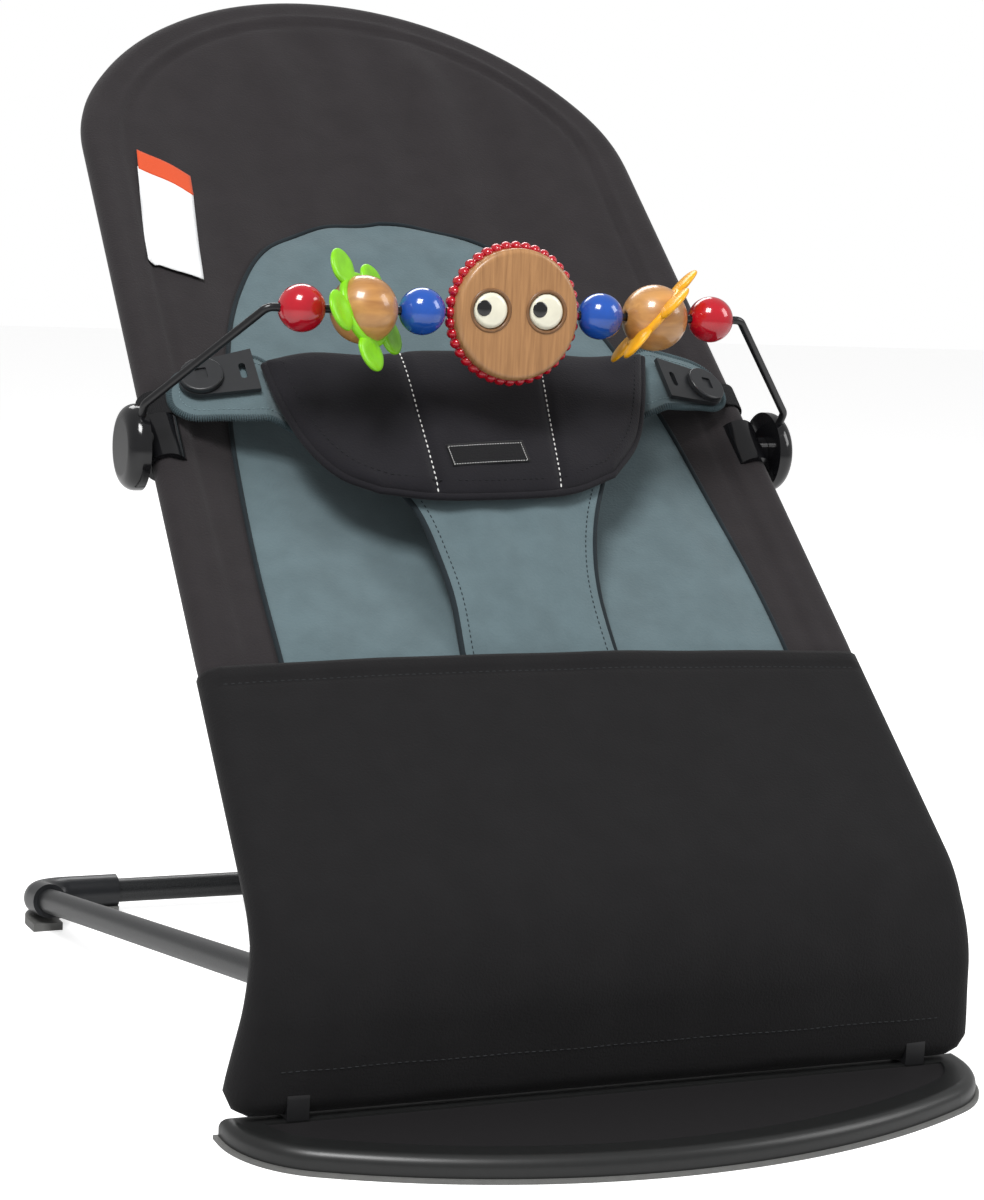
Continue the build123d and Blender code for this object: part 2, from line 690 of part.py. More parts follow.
slope = radians(tab_slope)
tab_start = panel_half_width + tab_gap
toggle_x = tab_length - toggle_radius - 8.0
for name, side in sides.items():
    out = seat_plane.x_dir * (side * cos(slope)) - seat_plane.z_dir * sin(slope)
    up = seat_plane.x_dir * (side * sin(slope)) + seat_plane.z_dir * cos(slope)
    tab_plane = Plane(origin=seat_point(side * tab_start, tab_along, tab_height), x_dir=out, z_dir=up)
    adjuster_plane = tab_plane.offset(tab_thickness + 0.1)
    toggle_plane = adjuster_plane.offset(adjuster_thickness + cheek_gap)

    with BuildPart() as harness_tab:
        with BuildSketch(tab_plane):
            with Locations((tab_length / 2 - 3, 0)):
                RectangleRounded(tab_length, tab_depth, 8.0)
        extrude(amount=tab_thickness)
    save(harness_tab, "harness_tab_" + name)

    with BuildPart() as adjuster:
        with BuildSketch(adjuster_plane):
            with BuildLine():
                Polyline((toggle_x, -toggle_radius), (0, -adjuster_depth / 2), (0, adjuster_depth / 2),
                         (toggle_x, toggle_radius))
                ThreePointArc((toggle_x, toggle_radius), (toggle_x + toggle_radius, 0), (toggle_x, -toggle_radius))
            make_face()
            for slot_x in (7.0, toggle_x - toggle_post_radius - 5.5):
                with Locations((slot_x, 0)):
                    SlotOverall(slot_length, slot_width, rotation=90, mode=Mode.SUBTRACT)
            with Locations((toggle_x, 0)):
                Circle(toggle_post_radius + running_gap, mode=Mode.SUBTRACT)
        extrude(amount=adjuster_thickness)
    save(adjuster, "adjuster_plate_" + name)

    with BuildPart() as toggle:
        with BuildSketch(toggle_plane):
            with Locations((toggle_x, 0)):
                Circle(toggle_radius - 0.6)
        extrude(amount=toggle_thickness)
        fillet(toggle.faces().sort_by(Axis(toggle_plane.origin, up))[-1].edges(), 1.0)
        with BuildSketch(toggle_plane):
            with Locations((toggle_x, 0)):
                Circle(toggle_post_radius)
        extrude(amount=-adjuster_thickness - cheek_gap)
        with BuildSketch(toggle_plane.offset(toggle_thickness - toggle_recess)):
            with Locations((toggle_x, 0)):
                RectangleRounded(6.0, 8.0, 1.0)
        extrude(amount=toggle_recess, mode=Mode.SUBTRACT)
    save(toggle, "toggle_button_" + name)

    with BuildPart() as webbing:
        with BuildSketch(cross_plane.offset(-tab_along - webbing_width / 2)):
            webbing_height = cover_radius + cover_gap + webbing_thickness / 2
            tube_x = half_width(tab_along)
            with BuildLine():
                Polyline(
                    (side * (tube_x - 32), webbing_height + 3.5),
                    (side * (tube_x - 9), webbing_height),
                    (side * (tube_x + 4), webbing_height),
                )
            trace(line_width=webbing_thickness)
        extrude(amount=webbing_width)
    save(webbing, "webbing_" + name)

# ---- toy bar ------------------------------------------------------------------------
bar_tilt = radians(bar_lean)
bar_up = seat_plane.z_dir * cos(bar_tilt) + seat_plane.y_dir * sin(bar_tilt)
hub = seat_point(0, clamp_place)
bar_plane = Plane(origin=hub, x_dir=(1, 0, 0), z_dir=Vector(1, 0, 0).cross(bar_up))
bar_centre = hub + bar_up * wire_reach
jaw_radius = cover_radius + clamp_gap + clamp_wall
clamp_x = half_width(clamp_place)
dome_inside = clamp_x + jaw_radius + boss_length + clamp_gap
wire_root_x = dome_inside + wire_inset

with BuildLine(bar_plane) as wire_path:
    FilletPolyline(
        (-wire_root_x, wire_root), (-wire_root_x, wire_shoulder), (-wire_half_span, wire_reach),
        (wire_half_span, wire_reach), (wire_root_x, wire_shoulder), (wire_root_x, wire_root),
        radius=wire_bend_radius,
    )
toy_wire = tube(wire_path.wire(), wire_radius)
save(toy_wire, "toy_wire")

for name, side in sides.items():
    with BuildPart() as clamp:
        start = clamp_place - clamp_length / 2
        with BuildSketch(
            Plane(origin=seat_point(side * half_width(start), start), z_dir=side_direction(side))
        ):
            Circle(jaw_radius)
        extrude(amount=clamp_length)
        with BuildSketch(Plane(origin=(side * clamp_x, hub.Y, hub.Z), z_dir=(side, 0, 0))):
            Circle(9.0)
        extrude(amount=jaw_radius + boss_length)
        with BuildSketch(Plane(origin=(side * clamp_x, hub.Y, hub.Z), z_dir=(side, 0, 0))):
            Circle(pivot_radius)
        extrude(amount=dome_inside - clamp_x + pivot_length)
        start = clamp_place - clamp_length
        with BuildSketch(
            Plane(origin=seat_point(side * half_width(start), start), z_dir=side_direction(side))
        ):
            Circle(cover_radius + clamp_gap)
        extrude(amount=2 * clamp_length, mode=Mode.SUBTRACT)
        with BuildSketch(cross_plane.offset(-clamp_place - clamp_length)):
            with Locations((side * (clamp_x - jaw_radius), 0)):
                Rectangle(2 * jaw_radius, clamp_mouth)
        extrude(amount=2 * clamp_length, mode=Mode.SUBTRACT)
    save(clamp, "bar_clamp_" + name)

    with BuildPart() as dome:
        with BuildSketch(Plane(origin=(side * dome_inside, hub.Y, hub.Z), z_dir=(side, 0, 0))):
            Circle(dome_radius)
        extrude(amount=dome_thickness)
        fillet(dome.faces().sort_by(Axis.X)[0 if side < 0 else -1].edges(), dome_fillet)
        add(
            x_rod(min(side * (dome_inside - 1), side * (dome_inside + pivot_length + clamp_gap)),
                  max(side * (dome_inside - 1), side * (dome_inside + pivot_length + clamp_gap)),
                  hub.Y, hub.Z, pivot_radius + running_gap),
            mode=Mode.SUBTRACT,
        )
        add(toy_wire.part, mode=Mode.SUBTRACT)
    save(dome, "clamp_dome_" + name)


def bore(part_maker, place, radius):
    """Drill the wire's hole through a bead."""
    with part_maker:
        add(
            x_rod(place - radius - 1, place + radius + 1, bar_centre.Y, bar_centre.Z, wire_radius + running_gap),
            mode=Mode.SUBTRACT,
        )


for name, side in sides.items():
    for colour, place in (("red", red_place), ("blue", blue_place)):
        with BuildPart() as bead:
            with Locations((side * place, bar_centre.Y, bar_centre.Z)):
                Sphere(bead_radius, rotation=(0, 90, 0))
        bore(bead, side * place, bead_radius)
        save(bead, "bead_" + colour + "_" + name)

    spin = radians(flower_spins[name])
    swing = radians(flower_tilts[name])
    axis = Vector(cos(swing), sin(swing) * cos(spin), sin(swing) * sin(spin))
    flower_plane = Plane(origin=(side * ball_place, bar_centre.Y, bar_centre.Z), z_dir=axis)

    with BuildPart() as ball:
        with Locations((side * ball_place, bar_centre.Y, bar_centre.Z)):
            Sphere(ball_radius, rotation=(0, 90, 0))
        with BuildSketch(flower_plane):
            Circle(ball_radius + 2)
            Circle(ball_radius - groove_depth, mode=Mode.SUBTRACT)
        extrude(amount=flower_thickness / 2 + snug, both=True, mode=Mode.SUBTRACT)
    bore(ball, side * ball_place, ball_radius)
    save(ball, "ball_wood_" + name)

    with BuildPart() as flower:
        with BuildSketch(flower_plane):
            Circle(ball_radius + 3)
            with PolarLocations(0, petals):
                with Locations((flower_radius - petal_width, 0)):
                    Circle(petal_width)
            Circle(ball_radius - groove_depth + snug, mode=Mode.SUBTRACT)
        extrude(amount=flower_thickness / 2, both=True)
    save(flower, "flower_" + {"left": "green", "right": "yellow"}[name])

# Face: a wooden disc looking forwards, in a ring of beads, with two eyes that can turn
face_plane = Plane(origin=bar_centre, x_dir=(1, 0, 0), z_dir=(0, -1, 0))
eye_places = [(-eye_spacing / 2, eye_rise), (eye_spacing / 2, eye_rise)]
recess_floor = disc_front - eye_recess_depth

with BuildPart() as face_disc:
    with BuildSketch(face_plane.offset(-disc_back)):
        Circle(disc_radius)
    extrude(amount=disc_front + disc_back)
    fillet(face_disc.edges().filter_by(GeomType.CIRCLE), disc_fillet)
    with BuildSketch(face_plane.offset(recess_floor)):
        with Locations(*eye_places):
            Circle(eye_puck_radius + running_gap)
    extrude(amount=eye_recess_depth + 1, mode=Mode.SUBTRACT)
    for place in eye_places:
        with BuildSketch(face_plane.offset(disc_front - eye_bevel)):
            with Locations(place):
                Circle(eye_puck_radius + running_gap)
        with BuildSketch(face_plane.offset(disc_front)):
            with Locations(place):
                Circle(eye_puck_radius + running_gap + eye_bevel)
        loft(mode=Mode.SUBTRACT)
bore(face_disc, 0, 2 * disc_radius)
save(face_disc, "face_disc")

with BuildPart() as face_rim:
    with BuildSketch(face_plane.offset(-rim_band / 2)):
        Circle(disc_radius + 1.2)
        with PolarLocations(disc_radius + 1.0, rim_bumps):
            Circle(bump_radius)
        Circle(disc_radius + snug, mode=Mode.SUBTRACT)
    extrude(amount=rim_band)
bore(face_rim, 0, 2 * disc_radius)
save(face_rim, "face_rim")

for name, place in zip(("left", "right"), eye_places):
    with BuildPart() as eye:
        with BuildSketch(face_plane.offset(recess_floor + 0.1)):
            with Locations(place):
                Circle(eye_puck_radius)
        extrude(amount=eye_recess_depth + 1.5)
        fillet(eye.faces().sort_by(Axis.Y)[0].edges(), 3.0)
    save(eye, "eye_" + name)
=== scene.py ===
# %% [markdown]
# # A baby's bouncer seat
# A loop of steel tube carries a fabric sling. It leans back on a folding stand, and its feet
# hinge on a flat plate. A wire across the middle carries wooden toys, and a padded belt holds
# the baby. The hard parts come from the CAD frame. This lesson makes the cloth, the toys and the
# finishes on top of them, in metres, with +X at the sitter's left, +Y behind and +Z up.

# %% Load the frame
import json
import math

import bmesh
import bpy
import numpy as np
from mathutils import Matrix, Vector


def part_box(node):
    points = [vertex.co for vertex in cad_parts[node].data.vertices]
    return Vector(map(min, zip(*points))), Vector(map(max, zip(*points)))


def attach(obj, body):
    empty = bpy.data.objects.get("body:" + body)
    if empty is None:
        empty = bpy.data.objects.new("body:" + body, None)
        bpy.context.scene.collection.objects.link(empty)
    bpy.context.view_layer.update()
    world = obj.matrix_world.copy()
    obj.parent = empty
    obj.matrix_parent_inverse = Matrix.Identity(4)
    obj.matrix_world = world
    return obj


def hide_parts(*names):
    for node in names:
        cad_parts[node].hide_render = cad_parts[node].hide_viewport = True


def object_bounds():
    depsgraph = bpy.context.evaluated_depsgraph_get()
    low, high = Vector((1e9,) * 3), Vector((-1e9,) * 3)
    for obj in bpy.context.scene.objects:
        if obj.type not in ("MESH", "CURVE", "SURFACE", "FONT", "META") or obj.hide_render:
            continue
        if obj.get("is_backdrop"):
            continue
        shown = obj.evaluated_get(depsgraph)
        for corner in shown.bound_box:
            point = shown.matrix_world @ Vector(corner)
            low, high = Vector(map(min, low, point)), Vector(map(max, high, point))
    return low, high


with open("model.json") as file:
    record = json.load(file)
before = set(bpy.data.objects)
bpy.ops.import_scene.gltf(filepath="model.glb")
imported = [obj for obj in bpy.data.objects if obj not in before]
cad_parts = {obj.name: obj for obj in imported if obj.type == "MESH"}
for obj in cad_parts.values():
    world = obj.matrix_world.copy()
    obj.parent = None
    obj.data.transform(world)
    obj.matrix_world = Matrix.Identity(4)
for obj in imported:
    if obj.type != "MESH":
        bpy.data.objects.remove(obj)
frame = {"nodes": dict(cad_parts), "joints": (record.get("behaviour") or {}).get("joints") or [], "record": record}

record = frame["record"]
joints = {joint["name"]: joint for joint in frame["joints"]}
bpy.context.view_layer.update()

# %% [markdown]
# ## Places
# The cloth follows the tubes, so everything below is given in the tubes' own terms: across the
# seat, along it from the knee, and above its plane. The two hinges give the crossbar and the
# seat's angle. The rest are the tube sizes that the frame was made with, and the print sets the
# hoop's top beside the frame's box for it.

# %% Seat coordinates
SEAT_ANGLE = math.radians(-joints["recline"]["range_deg"][0])
LEG_ANGLE = math.radians(101.0)
LEG = 0.073
KNEE_RADIUS = 0.059
FOOT_HALF = 0.1915
KNEE_HALF = 0.182
SIDE_SLOPE = 0.026738
SPRING = 0.561
HOOP_TOP = 0.699
ARCH_CORNER = 0.102
SLEEVE = 0.008
BAND_TOP = 0.163

crossbar = np.array(joints["footplate_hinge"]["pos_m"])
leg_way = np.array([math.cos(LEG_ANGLE), math.sin(LEG_ANGLE)])
seat_way = np.array([math.cos(SEAT_ANGLE), math.sin(SEAT_ANGLE)])
seat_up = np.array([-math.sin(SEAT_ANGLE), math.cos(SEAT_ANGLE)])
knee = crossbar[1:] + LEG * leg_way
tangent_length = KNEE_RADIUS * math.tan((LEG_ANGLE - SEAT_ANGLE) / 2)
leg_straight = LEG - tangent_length
knee_arc = KNEE_RADIUS * (LEG_ANGLE - SEAT_ANGLE)


def seat(x, s, h):
    """Points at x across, s up the seat from the knee corner, and h above the tubes' plane."""
    x, s, h = np.broadcast_arrays(x, s, h)
    yz = knee + s[..., None] * seat_way + h[..., None] * seat_up
    return np.concatenate([x[..., None], yz], axis=-1)


off_seat = seat(0, 0, 1) - seat(0, 0, 0)


def round_knee(x, q, h):
    """The same, but q is measured along the tube from the crossbar and follows the knee's bend."""
    x, q, h = np.broadcast_arrays(x, q, h)
    turned = np.clip(q - leg_straight, 0, knee_arc) / KNEE_RADIUS
    way = LEG_ANGLE - turned
    out = np.stack([-np.sin(way), np.cos(way)], axis=-1)
    first_out = np.array([-math.sin(LEG_ANGLE), math.cos(LEG_ANGLE)])
    centre = crossbar[1:] + leg_straight * leg_way - KNEE_RADIUS * first_out
    yz = centre + KNEE_RADIUS * out + h[..., None] * out
    yz = yz + np.minimum(q - leg_straight, 0)[..., None] * leg_way
    yz = yz + np.maximum(q - leg_straight - knee_arc, 0)[..., None] * seat_way
    return np.concatenate([x[..., None], yz], axis=-1)


def along_tube(s):
    """The distance along the tube from the crossbar, for a place on the straight seat side."""
    return s - tangent_length + leg_straight + knee_arc


def hoop_side():
    """The right half of the hoop's centre line in the seat plane, from the knee to the top."""
    half = KNEE_HALF - SIDE_SLOPE * SPRING
    centre_x = half - ARCH_CORNER * math.cos(SIDE_SLOPE)
    centre_s = SPRING - ARCH_CORNER * math.sin(SIDE_SLOPE)
    inner = HOOP_TOP - ARCH_CORNER
    wide_s = (inner**2 - centre_x**2 - centre_s**2) / (2 * (inner - centre_s))
    turn = math.atan2(centre_s - wide_s, centre_x)
    corner = np.linspace(SIDE_SLOPE, turn, 16)
    wide = np.linspace(turn, math.pi / 2, 60)[1:]
    side = np.linspace(0, SPRING, 120)[:-1]
    return np.concatenate([
        np.stack([KNEE_HALF - SIDE_SLOPE * side, side], axis=-1),
        np.stack([centre_x + ARCH_CORNER * np.cos(corner), centre_s + ARCH_CORNER * np.sin(corner)],
                 axis=-1),
        np.stack([(HOOP_TOP - wide_s) * np.cos(wide), wide_s + (HOOP_TOP - wide_s) * np.sin(wide)],
                 axis=-1),
    ])


hoop_right = hoop_side()


def half_width(s):
    """Half the distance between the tubes' centre lines at s, closing to nothing at the top."""
    return np.interp(s, hoop_right[:, 1], hoop_right[:, 0])


hoop_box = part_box("upper_hoop")
print("Hoop top: frame", round(hoop_box[1][2], 4), "here", round(float(seat(0, HOOP_TOP, 0)[2]) + 0.006, 4))

# %% [markdown]
# ## Tools for cloth
# A cloth piece is a grid of points filled in between four edge curves, which is how a patch of
# cloth is cut, and then lifted off the seat plane by a height. Piping and rope-like edges are
# tubes drawn along a line.

# %% Mesh tools
def smooth_line(points, count):
    """Evenly spaced points on a smooth curve through the given ones."""
    p = np.array(points, float)
    p = np.vstack([2 * p[0] - p[1], p, 2 * p[-1] - p[-2]])
    fine = []
    for a, b, c, d in zip(p[:-3], p[1:-2], p[2:-1], p[3:]):
        t = np.linspace(0, 1, 24, endpoint=False)[:, None]
        fine.append(0.5 * (2 * b + (c - a) * t + (2 * a - 5 * b + 4 * c - d) * t**2
                           + (3 * b - a - 3 * c + d) * t**3))
    return spaced(np.vstack([*fine, p[-2:-1]]), count)


def spaced(points, count):
    """The same line with that many points, evenly spaced."""
    p = np.asarray(points, float)
    length = np.concatenate([[0], np.cumsum(np.linalg.norm(np.diff(p, axis=0), axis=1))])
    at = np.linspace(0, length[-1], count)
    return np.stack([np.interp(at, length, p[:, i]) for i in range(p.shape[1])], axis=-1)


def patch(low, high, left, right):
    """A grid filled in between four edges. low and high have the columns, left and right the rows."""
    u = np.linspace(0, 1, len(low))[None, :, None]
    v = np.linspace(0, 1, len(left))[:, None, None]
    across = (1 - v) * low[None] + v * high[None]
    along = (1 - u) * left[:, None] + u * right[:, None]
    corners = ((1 - u) * (1 - v) * low[0] + u * (1 - v) * low[-1]
               + (1 - u) * v * high[0] + u * v * high[-1])
    return across + along - corners


def symmetric_grid(side, split, columns, rows):
    """A grid between a right edge and its mirror image. The edge turns its corner at split."""
    left = side * [-1, 1]
    return patch(
        spaced([left[0], side[0]], columns),
        spaced(np.vstack([left[split:], side[split:-1][::-1]]), columns),
        spaced(left[: split + 1], rows),
        spaced(side[: split + 1], rows),
    )


def grid_faces(rows, columns, closed=False):
    """Quads over a grid of points. closed joins the last column to the first."""
    i, j = np.meshgrid(np.arange(rows - 1), np.arange(columns if closed else columns - 1), indexing="ij")
    k, above, below = (j + 1) % columns, i * columns, (i + 1) * columns
    return np.stack([above + j, above + k, below + k, below + j], axis=-1).reshape(-1, 4).tolist()


def add_mesh(name, points, faces, material, body, towards=None):
    """A smooth mesh at the origin that rides on a body. Its faces look towards the given direction."""
    data = bpy.data.meshes.new(name)
    data.from_pydata([tuple(p) for p in np.asarray(points, float).reshape(-1, 3)], [], faces)
    work = bmesh.new()
    work.from_mesh(data)
    bmesh.ops.remove_doubles(work, verts=work.verts, dist=1e-6)
    bmesh.ops.recalc_face_normals(work, faces=work.faces)
    if towards is not None:
        total = sum((f.normal * f.calc_area() for f in work.faces), Vector())
        if total.dot(Vector(towards)) < 0:
            bmesh.ops.reverse_faces(work, faces=work.faces)
    work.to_mesh(data)
    work.free()
    data.shade_smooth()
    data.materials.append(material)
    made = bpy.data.objects.new(name, data)
    bpy.context.collection.objects.link(made)
    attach(made, body)
    return made


def thicken(piece, thickness):
    """Gives a sheet its real thickness, inwards from its face."""
    solid = piece.modifiers.new("thickness", "SOLIDIFY")
    solid.thickness = thickness
    solid.offset = -1
    return piece


def tube_points(line, radius, sides=10, closed=False):
    """Points and faces of a tube along a line, with rounded-off ends unless it is closed."""
    p = np.asarray(line, float)
    if closed:
        way = np.roll(p, -1, axis=0) - np.roll(p, 1, axis=0)
    else:
        way = np.gradient(p, axis=0)
    way /= np.linalg.norm(way, axis=1)[:, None]
    side = np.cross(way[0], [0.31, 0.52, 0.79])
    frames = []
    for w in way:
        side = side - w * np.dot(side, w)
        side /= np.linalg.norm(side)
        frames.append(side)
    side = np.array(frames)
    other = np.cross(way, side)
    angle = np.linspace(0, 2 * math.pi, sides, endpoint=False)
    size = np.full(len(p), radius)
    if not closed:
        size[[0, -1]] = radius * 0.35
    round_it = np.cos(angle)[None, :, None] * side[:, None] + np.sin(angle)[None, :, None] * other[:, None]
    ring = p[:, None] + size[:, None, None] * round_it
    faces = grid_faces(len(p), sides, closed=True)
    if closed:
        last = (len(p) - 1) * sides
        faces += [[last + j, last + (j + 1) % sides, (j + 1) % sides, j] for j in range(sides)]
    else:
        faces += [list(range(sides))[::-1], [(len(p) - 1) * sides + j for j in range(sides)]]
    return ring.reshape(-1, 3), faces


def add_tube(name, line, radius, material, body, sides=10, closed=False):
    points, faces = tube_points(line, radius, sides, closed)
    return add_mesh(name, points, faces, material, body)


def ripple(x, s, seed, across, along):
    """Soft folds: a sum of waves, running mostly along the cloth, between -1 and 1."""
    pick = np.random.default_rng(seed)
    total = np.zeros(np.broadcast(x, s).shape)
    for _ in range(7):
        a, b, phase = pick.uniform(0.5, 1.4) / across, pick.uniform(-1, 1) / along, pick.uniform(0, 6.28)
        total = total + np.sin(6.28 * (a * x + b * s) + phase) / 7
    return total * 1.6


def ramp(value, start, end):
    """0 before start, 1 after end, and a smooth step between."""
    t = np.clip((value - start) / (end - start), 0, 1)
    return t * t * (3 - 2 * t)


def ridge(value, place, width):
    """1 at place, falling away smoothly over width on both sides."""
    return np.exp(-(((value - place) / width) ** 2))


print("Tools ready")

# %% [markdown]
# ## Finishes
# Every finish is a small node tree, so that any piece can use it without an image. Cloth is rough
# with a soft sheen and a faint mottle from its weave. The tubes have a fine powder coat, and the
# toys are lacquered. Object coordinates work for all, since every piece sits at the origin.

# %% Finishes
def finish_of(name, colour, roughness, **extra):
    material = bpy.data.materials.new(name)
    material.use_nodes = True
    shader = material.node_tree.nodes["Principled BSDF"]
    shader.inputs["Base Color"].default_value = (*colour, 1)
    shader.inputs["Roughness"].default_value = roughness
    for key, value in extra.items():
        shader.inputs[key.replace("_", " ")].default_value = value
    return material


def noise_in(material, scale, detail=3.0, stretch=(1, 1, 1)):
    """A noise texture in object coordinates, stretched along an axis where it is smaller."""
    nodes, links = material.node_tree.nodes, material.node_tree.links
    place, mapping, noise = (nodes.new(kind) for kind in
                             ("ShaderNodeTexCoord", "ShaderNodeMapping", "ShaderNodeTexNoise"))
    mapping.inputs["Scale"].default_value = stretch
    noise.inputs["Scale"].default_value = scale
    noise.inputs["Detail"].default_value = detail
    links.new(place.outputs["Object"], mapping.inputs["Vector"])
    links.new(mapping.outputs["Vector"], noise.inputs["Vector"])
    return noise


def tint(material, noise, dark, light, low=0.3, high=0.7):
    """The base colour runs from dark to light with the noise."""
    nodes, links = material.node_tree.nodes, material.node_tree.links
    span = nodes.new("ShaderNodeValToRGB")
    span.color_ramp.elements[0].position, span.color_ramp.elements[1].position = low, high
    span.color_ramp.elements[0].color, span.color_ramp.elements[1].color = (*dark, 1), (*light, 1)
    links.new(noise.outputs["Fac"], span.inputs["Fac"])
    links.new(span.outputs["Color"], nodes["Principled BSDF"].inputs["Base Color"])


def bump(material, noise, strength, distance):
    nodes, links = material.node_tree.nodes, material.node_tree.links
    relief = nodes.new("ShaderNodeBump")
    relief.inputs["Strength"].default_value = strength
    relief.inputs["Distance"].default_value = distance
    links.new(noise.outputs["Fac"], relief.inputs["Height"])
    links.new(relief.outputs["Normal"], nodes["Principled BSDF"].inputs["Normal"])


def shade(colour, amount):
    return tuple(min(1.0, c * amount) for c in colour)


def cloth_finish(name, colour, mottle=0.12, sheen=0.25, grain=900):
    material = finish_of(name, colour, 0.92, Sheen_Weight=sheen, Sheen_Roughness=0.5,
                         Specular_IOR_Level=0.15)
    tint(material, noise_in(material, 55, 6.0), shade(colour, 1 - mottle), shade(colour, 1 + mottle),
         0.35, 0.65)
    bump(material, noise_in(material, grain, 2.0), 0.55, 0.0006)
    return material


def coated(name, colour, roughness, speckle=0.25, grain=1800):
    material = finish_of(name, colour, roughness)
    tint(material, noise_in(material, grain, 1.0), shade(colour, 1 - speckle), shade(colour, 1 + speckle),
         0.4, 0.62)
    bump(material, noise_in(material, grain * 0.7, 1.0), 0.12, 0.0002)
    return material


def lacquer(name, colour):
    material = finish_of(name, colour, 0.16, Coat_Weight=0.6, Coat_Roughness=0.06)
    tint(material, noise_in(material, 130, 2.0), shade(colour, 0.94), shade(colour, 1.05))
    return material


def moulded(name, colour, roughness):
    material = finish_of(name, colour, roughness)
    tint(material, noise_in(material, 240, 2.0), shade(colour, 0.93), shade(colour, 1.07))
    bump(material, noise_in(material, 1400, 2.0), 0.06, 0.0002)
    return material


def wooden(name, dark, light, stretch, coat):
    material = finish_of(name, light, 0.38, Coat_Weight=coat, Coat_Roughness=0.12)
    grain = noise_in(material, 60, 5.0, stretch)
    grain.inputs["Distortion"].default_value = 0.6
    tint(material, grain, dark, light, 0.32, 0.68)
    return material


black_cloth = cloth_finish("black_cloth", (0.0235, 0.0205, 0.0220), 0.06, 0.10)
band_cloth = cloth_finish("band_cloth", (0.0105, 0.0101, 0.0108), 0.06, 0.06)
belt_cloth = cloth_finish("belt_cloth", (0.0115, 0.0108, 0.0135), 0.06, 0.07)
slate_cloth = cloth_finish("slate_cloth", (0.100, 0.142, 0.156), 0.07, 0.20, 700)
slate_piping = cloth_finish("slate_piping", (0.016, 0.022, 0.026), 0.10, 0.05)
binding = cloth_finish("binding", (0.055, 0.082, 0.092), 0.15, 0.10)
white_thread = cloth_finish("white_thread", (0.72, 0.72, 0.70), 0.05, 0.1)
dark_thread = cloth_finish("dark_thread", (0.012, 0.012, 0.014), 0.05, 0.05)
hem_thread = cloth_finish("hem_thread", (0.030, 0.032, 0.034), 0.05, 0.05)
slate_thread = cloth_finish("slate_thread", (0.17, 0.235, 0.255), 0.05, 0.1)
elastic = cloth_finish("elastic", (0.012, 0.012, 0.013), 0.10, 0.10)
tag_white = cloth_finish("tag_white", (0.78, 0.79, 0.80), 0.03, 0.1)
tag_orange = cloth_finish("tag_orange", (0.62, 0.085, 0.03), 0.03, 0.1)
patch_cloth = cloth_finish("patch_cloth", (0.010, 0.010, 0.011), 0.08, 0.05)
tube_coat = coated("tube_coat", (0.017, 0.018, 0.019), 0.34, 0.5)
wire_coat = coated("wire_coat", (0.008, 0.008, 0.009), 0.28, 0.10)
steel = coated("steel", (0.45, 0.45, 0.45), 0.30, 0.08)
steel.node_tree.nodes["Principled BSDF"].inputs["Metallic"].default_value = 1.0
black_plastic = moulded("black_plastic", (0.008, 0.008, 0.009), 0.42)
grey_plastic = moulded("grey_plastic", (0.015, 0.016, 0.018), 0.34)
gloss_black = moulded("gloss_black", (0.006, 0.006, 0.007), 0.13)
rubber_grey = moulded("rubber_grey", (0.135, 0.135, 0.13), 0.55)
board_black = moulded("board_black", (0.0050, 0.0042, 0.0050), 0.62)
rim_plastic = moulded("rim_plastic", (0.0125, 0.0130, 0.0130), 0.36)
ball_wood = wooden("ball_wood", (0.36, 0.155, 0.040), (0.60, 0.30, 0.085), (0.5, 1.6, 2.6), 0.7)
face_wood = wooden("face_wood", (0.30, 0.145, 0.055), (0.44, 0.225, 0.090), (9.0, 1, 0.5), 0.15)
# A darker copy of the face's wood: painted shade for the gap round each eye.
eye_gap_shade = wooden("eye_gap_shade", (0.15, 0.068, 0.024), (0.22, 0.105, 0.040), (3, 1, 1), 0.1)
red = lacquer("red", (0.44, 0.003, 0.014))
blue = lacquer("blue", (0.010, 0.078, 0.40))
petal_green = moulded("petal_green", (0.21, 0.60, 0.006), 0.30)
petal_yellow = moulded("petal_yellow", (0.84, 0.39, 0.008), 0.30)
cream = lacquer("cream", (0.80, 0.77, 0.62))
pupil_black = lacquer("pupil_black", (0.004, 0.004, 0.004))

cad_finish = {
    tube_coat: ["upper_hoop", "lower_frame", "stand_crossbar", "stand_side_left", "stand_side_right"],
    steel: ["hoop_spigots", "detent_springs", "bracket_rivets", "corner_rivets", "lug_screws",
            "hinge_pin_left", "hinge_pin_right"],
    wire_coat: ["toy_wire"],
    black_plastic: ["hinge_bracket_left", "hinge_bracket_right", "stand_end_left", "stand_end_right",
                    "hinge_lug_left", "hinge_lug_right"],
    grey_plastic: ["stand_corner_left", "stand_corner_right", "adjuster_plate_left",
                   "adjuster_plate_right", "toggle_button_left", "toggle_button_right"],
    gloss_black: ["bar_clamp_left", "bar_clamp_right", "clamp_dome_left", "clamp_dome_right"],
    rubber_grey: ["footplate_base", "foot_pad_left", "foot_pad_right"],
    board_black: ["footplate_board"],
    rim_plastic: ["footplate_rim"],
    face_wood: ["face_disc"],
}
for material, names in cad_finish.items():
    for name in names:
        frame["nodes"][name].data.materials.clear()
        frame["nodes"][name].data.materials.append(material)
print(len(bpy.data.materials), "finishes")

# %% [markdown]
# ## Stitching
# A seam is the same stitch over and over, so a Geometry Nodes tree lays it: it walks along a
# line, sets one rounded stitch every few millimetres and turns it to lie flat on the cloth.
# A binding is the same tree with its stitches laid across the edge instead.

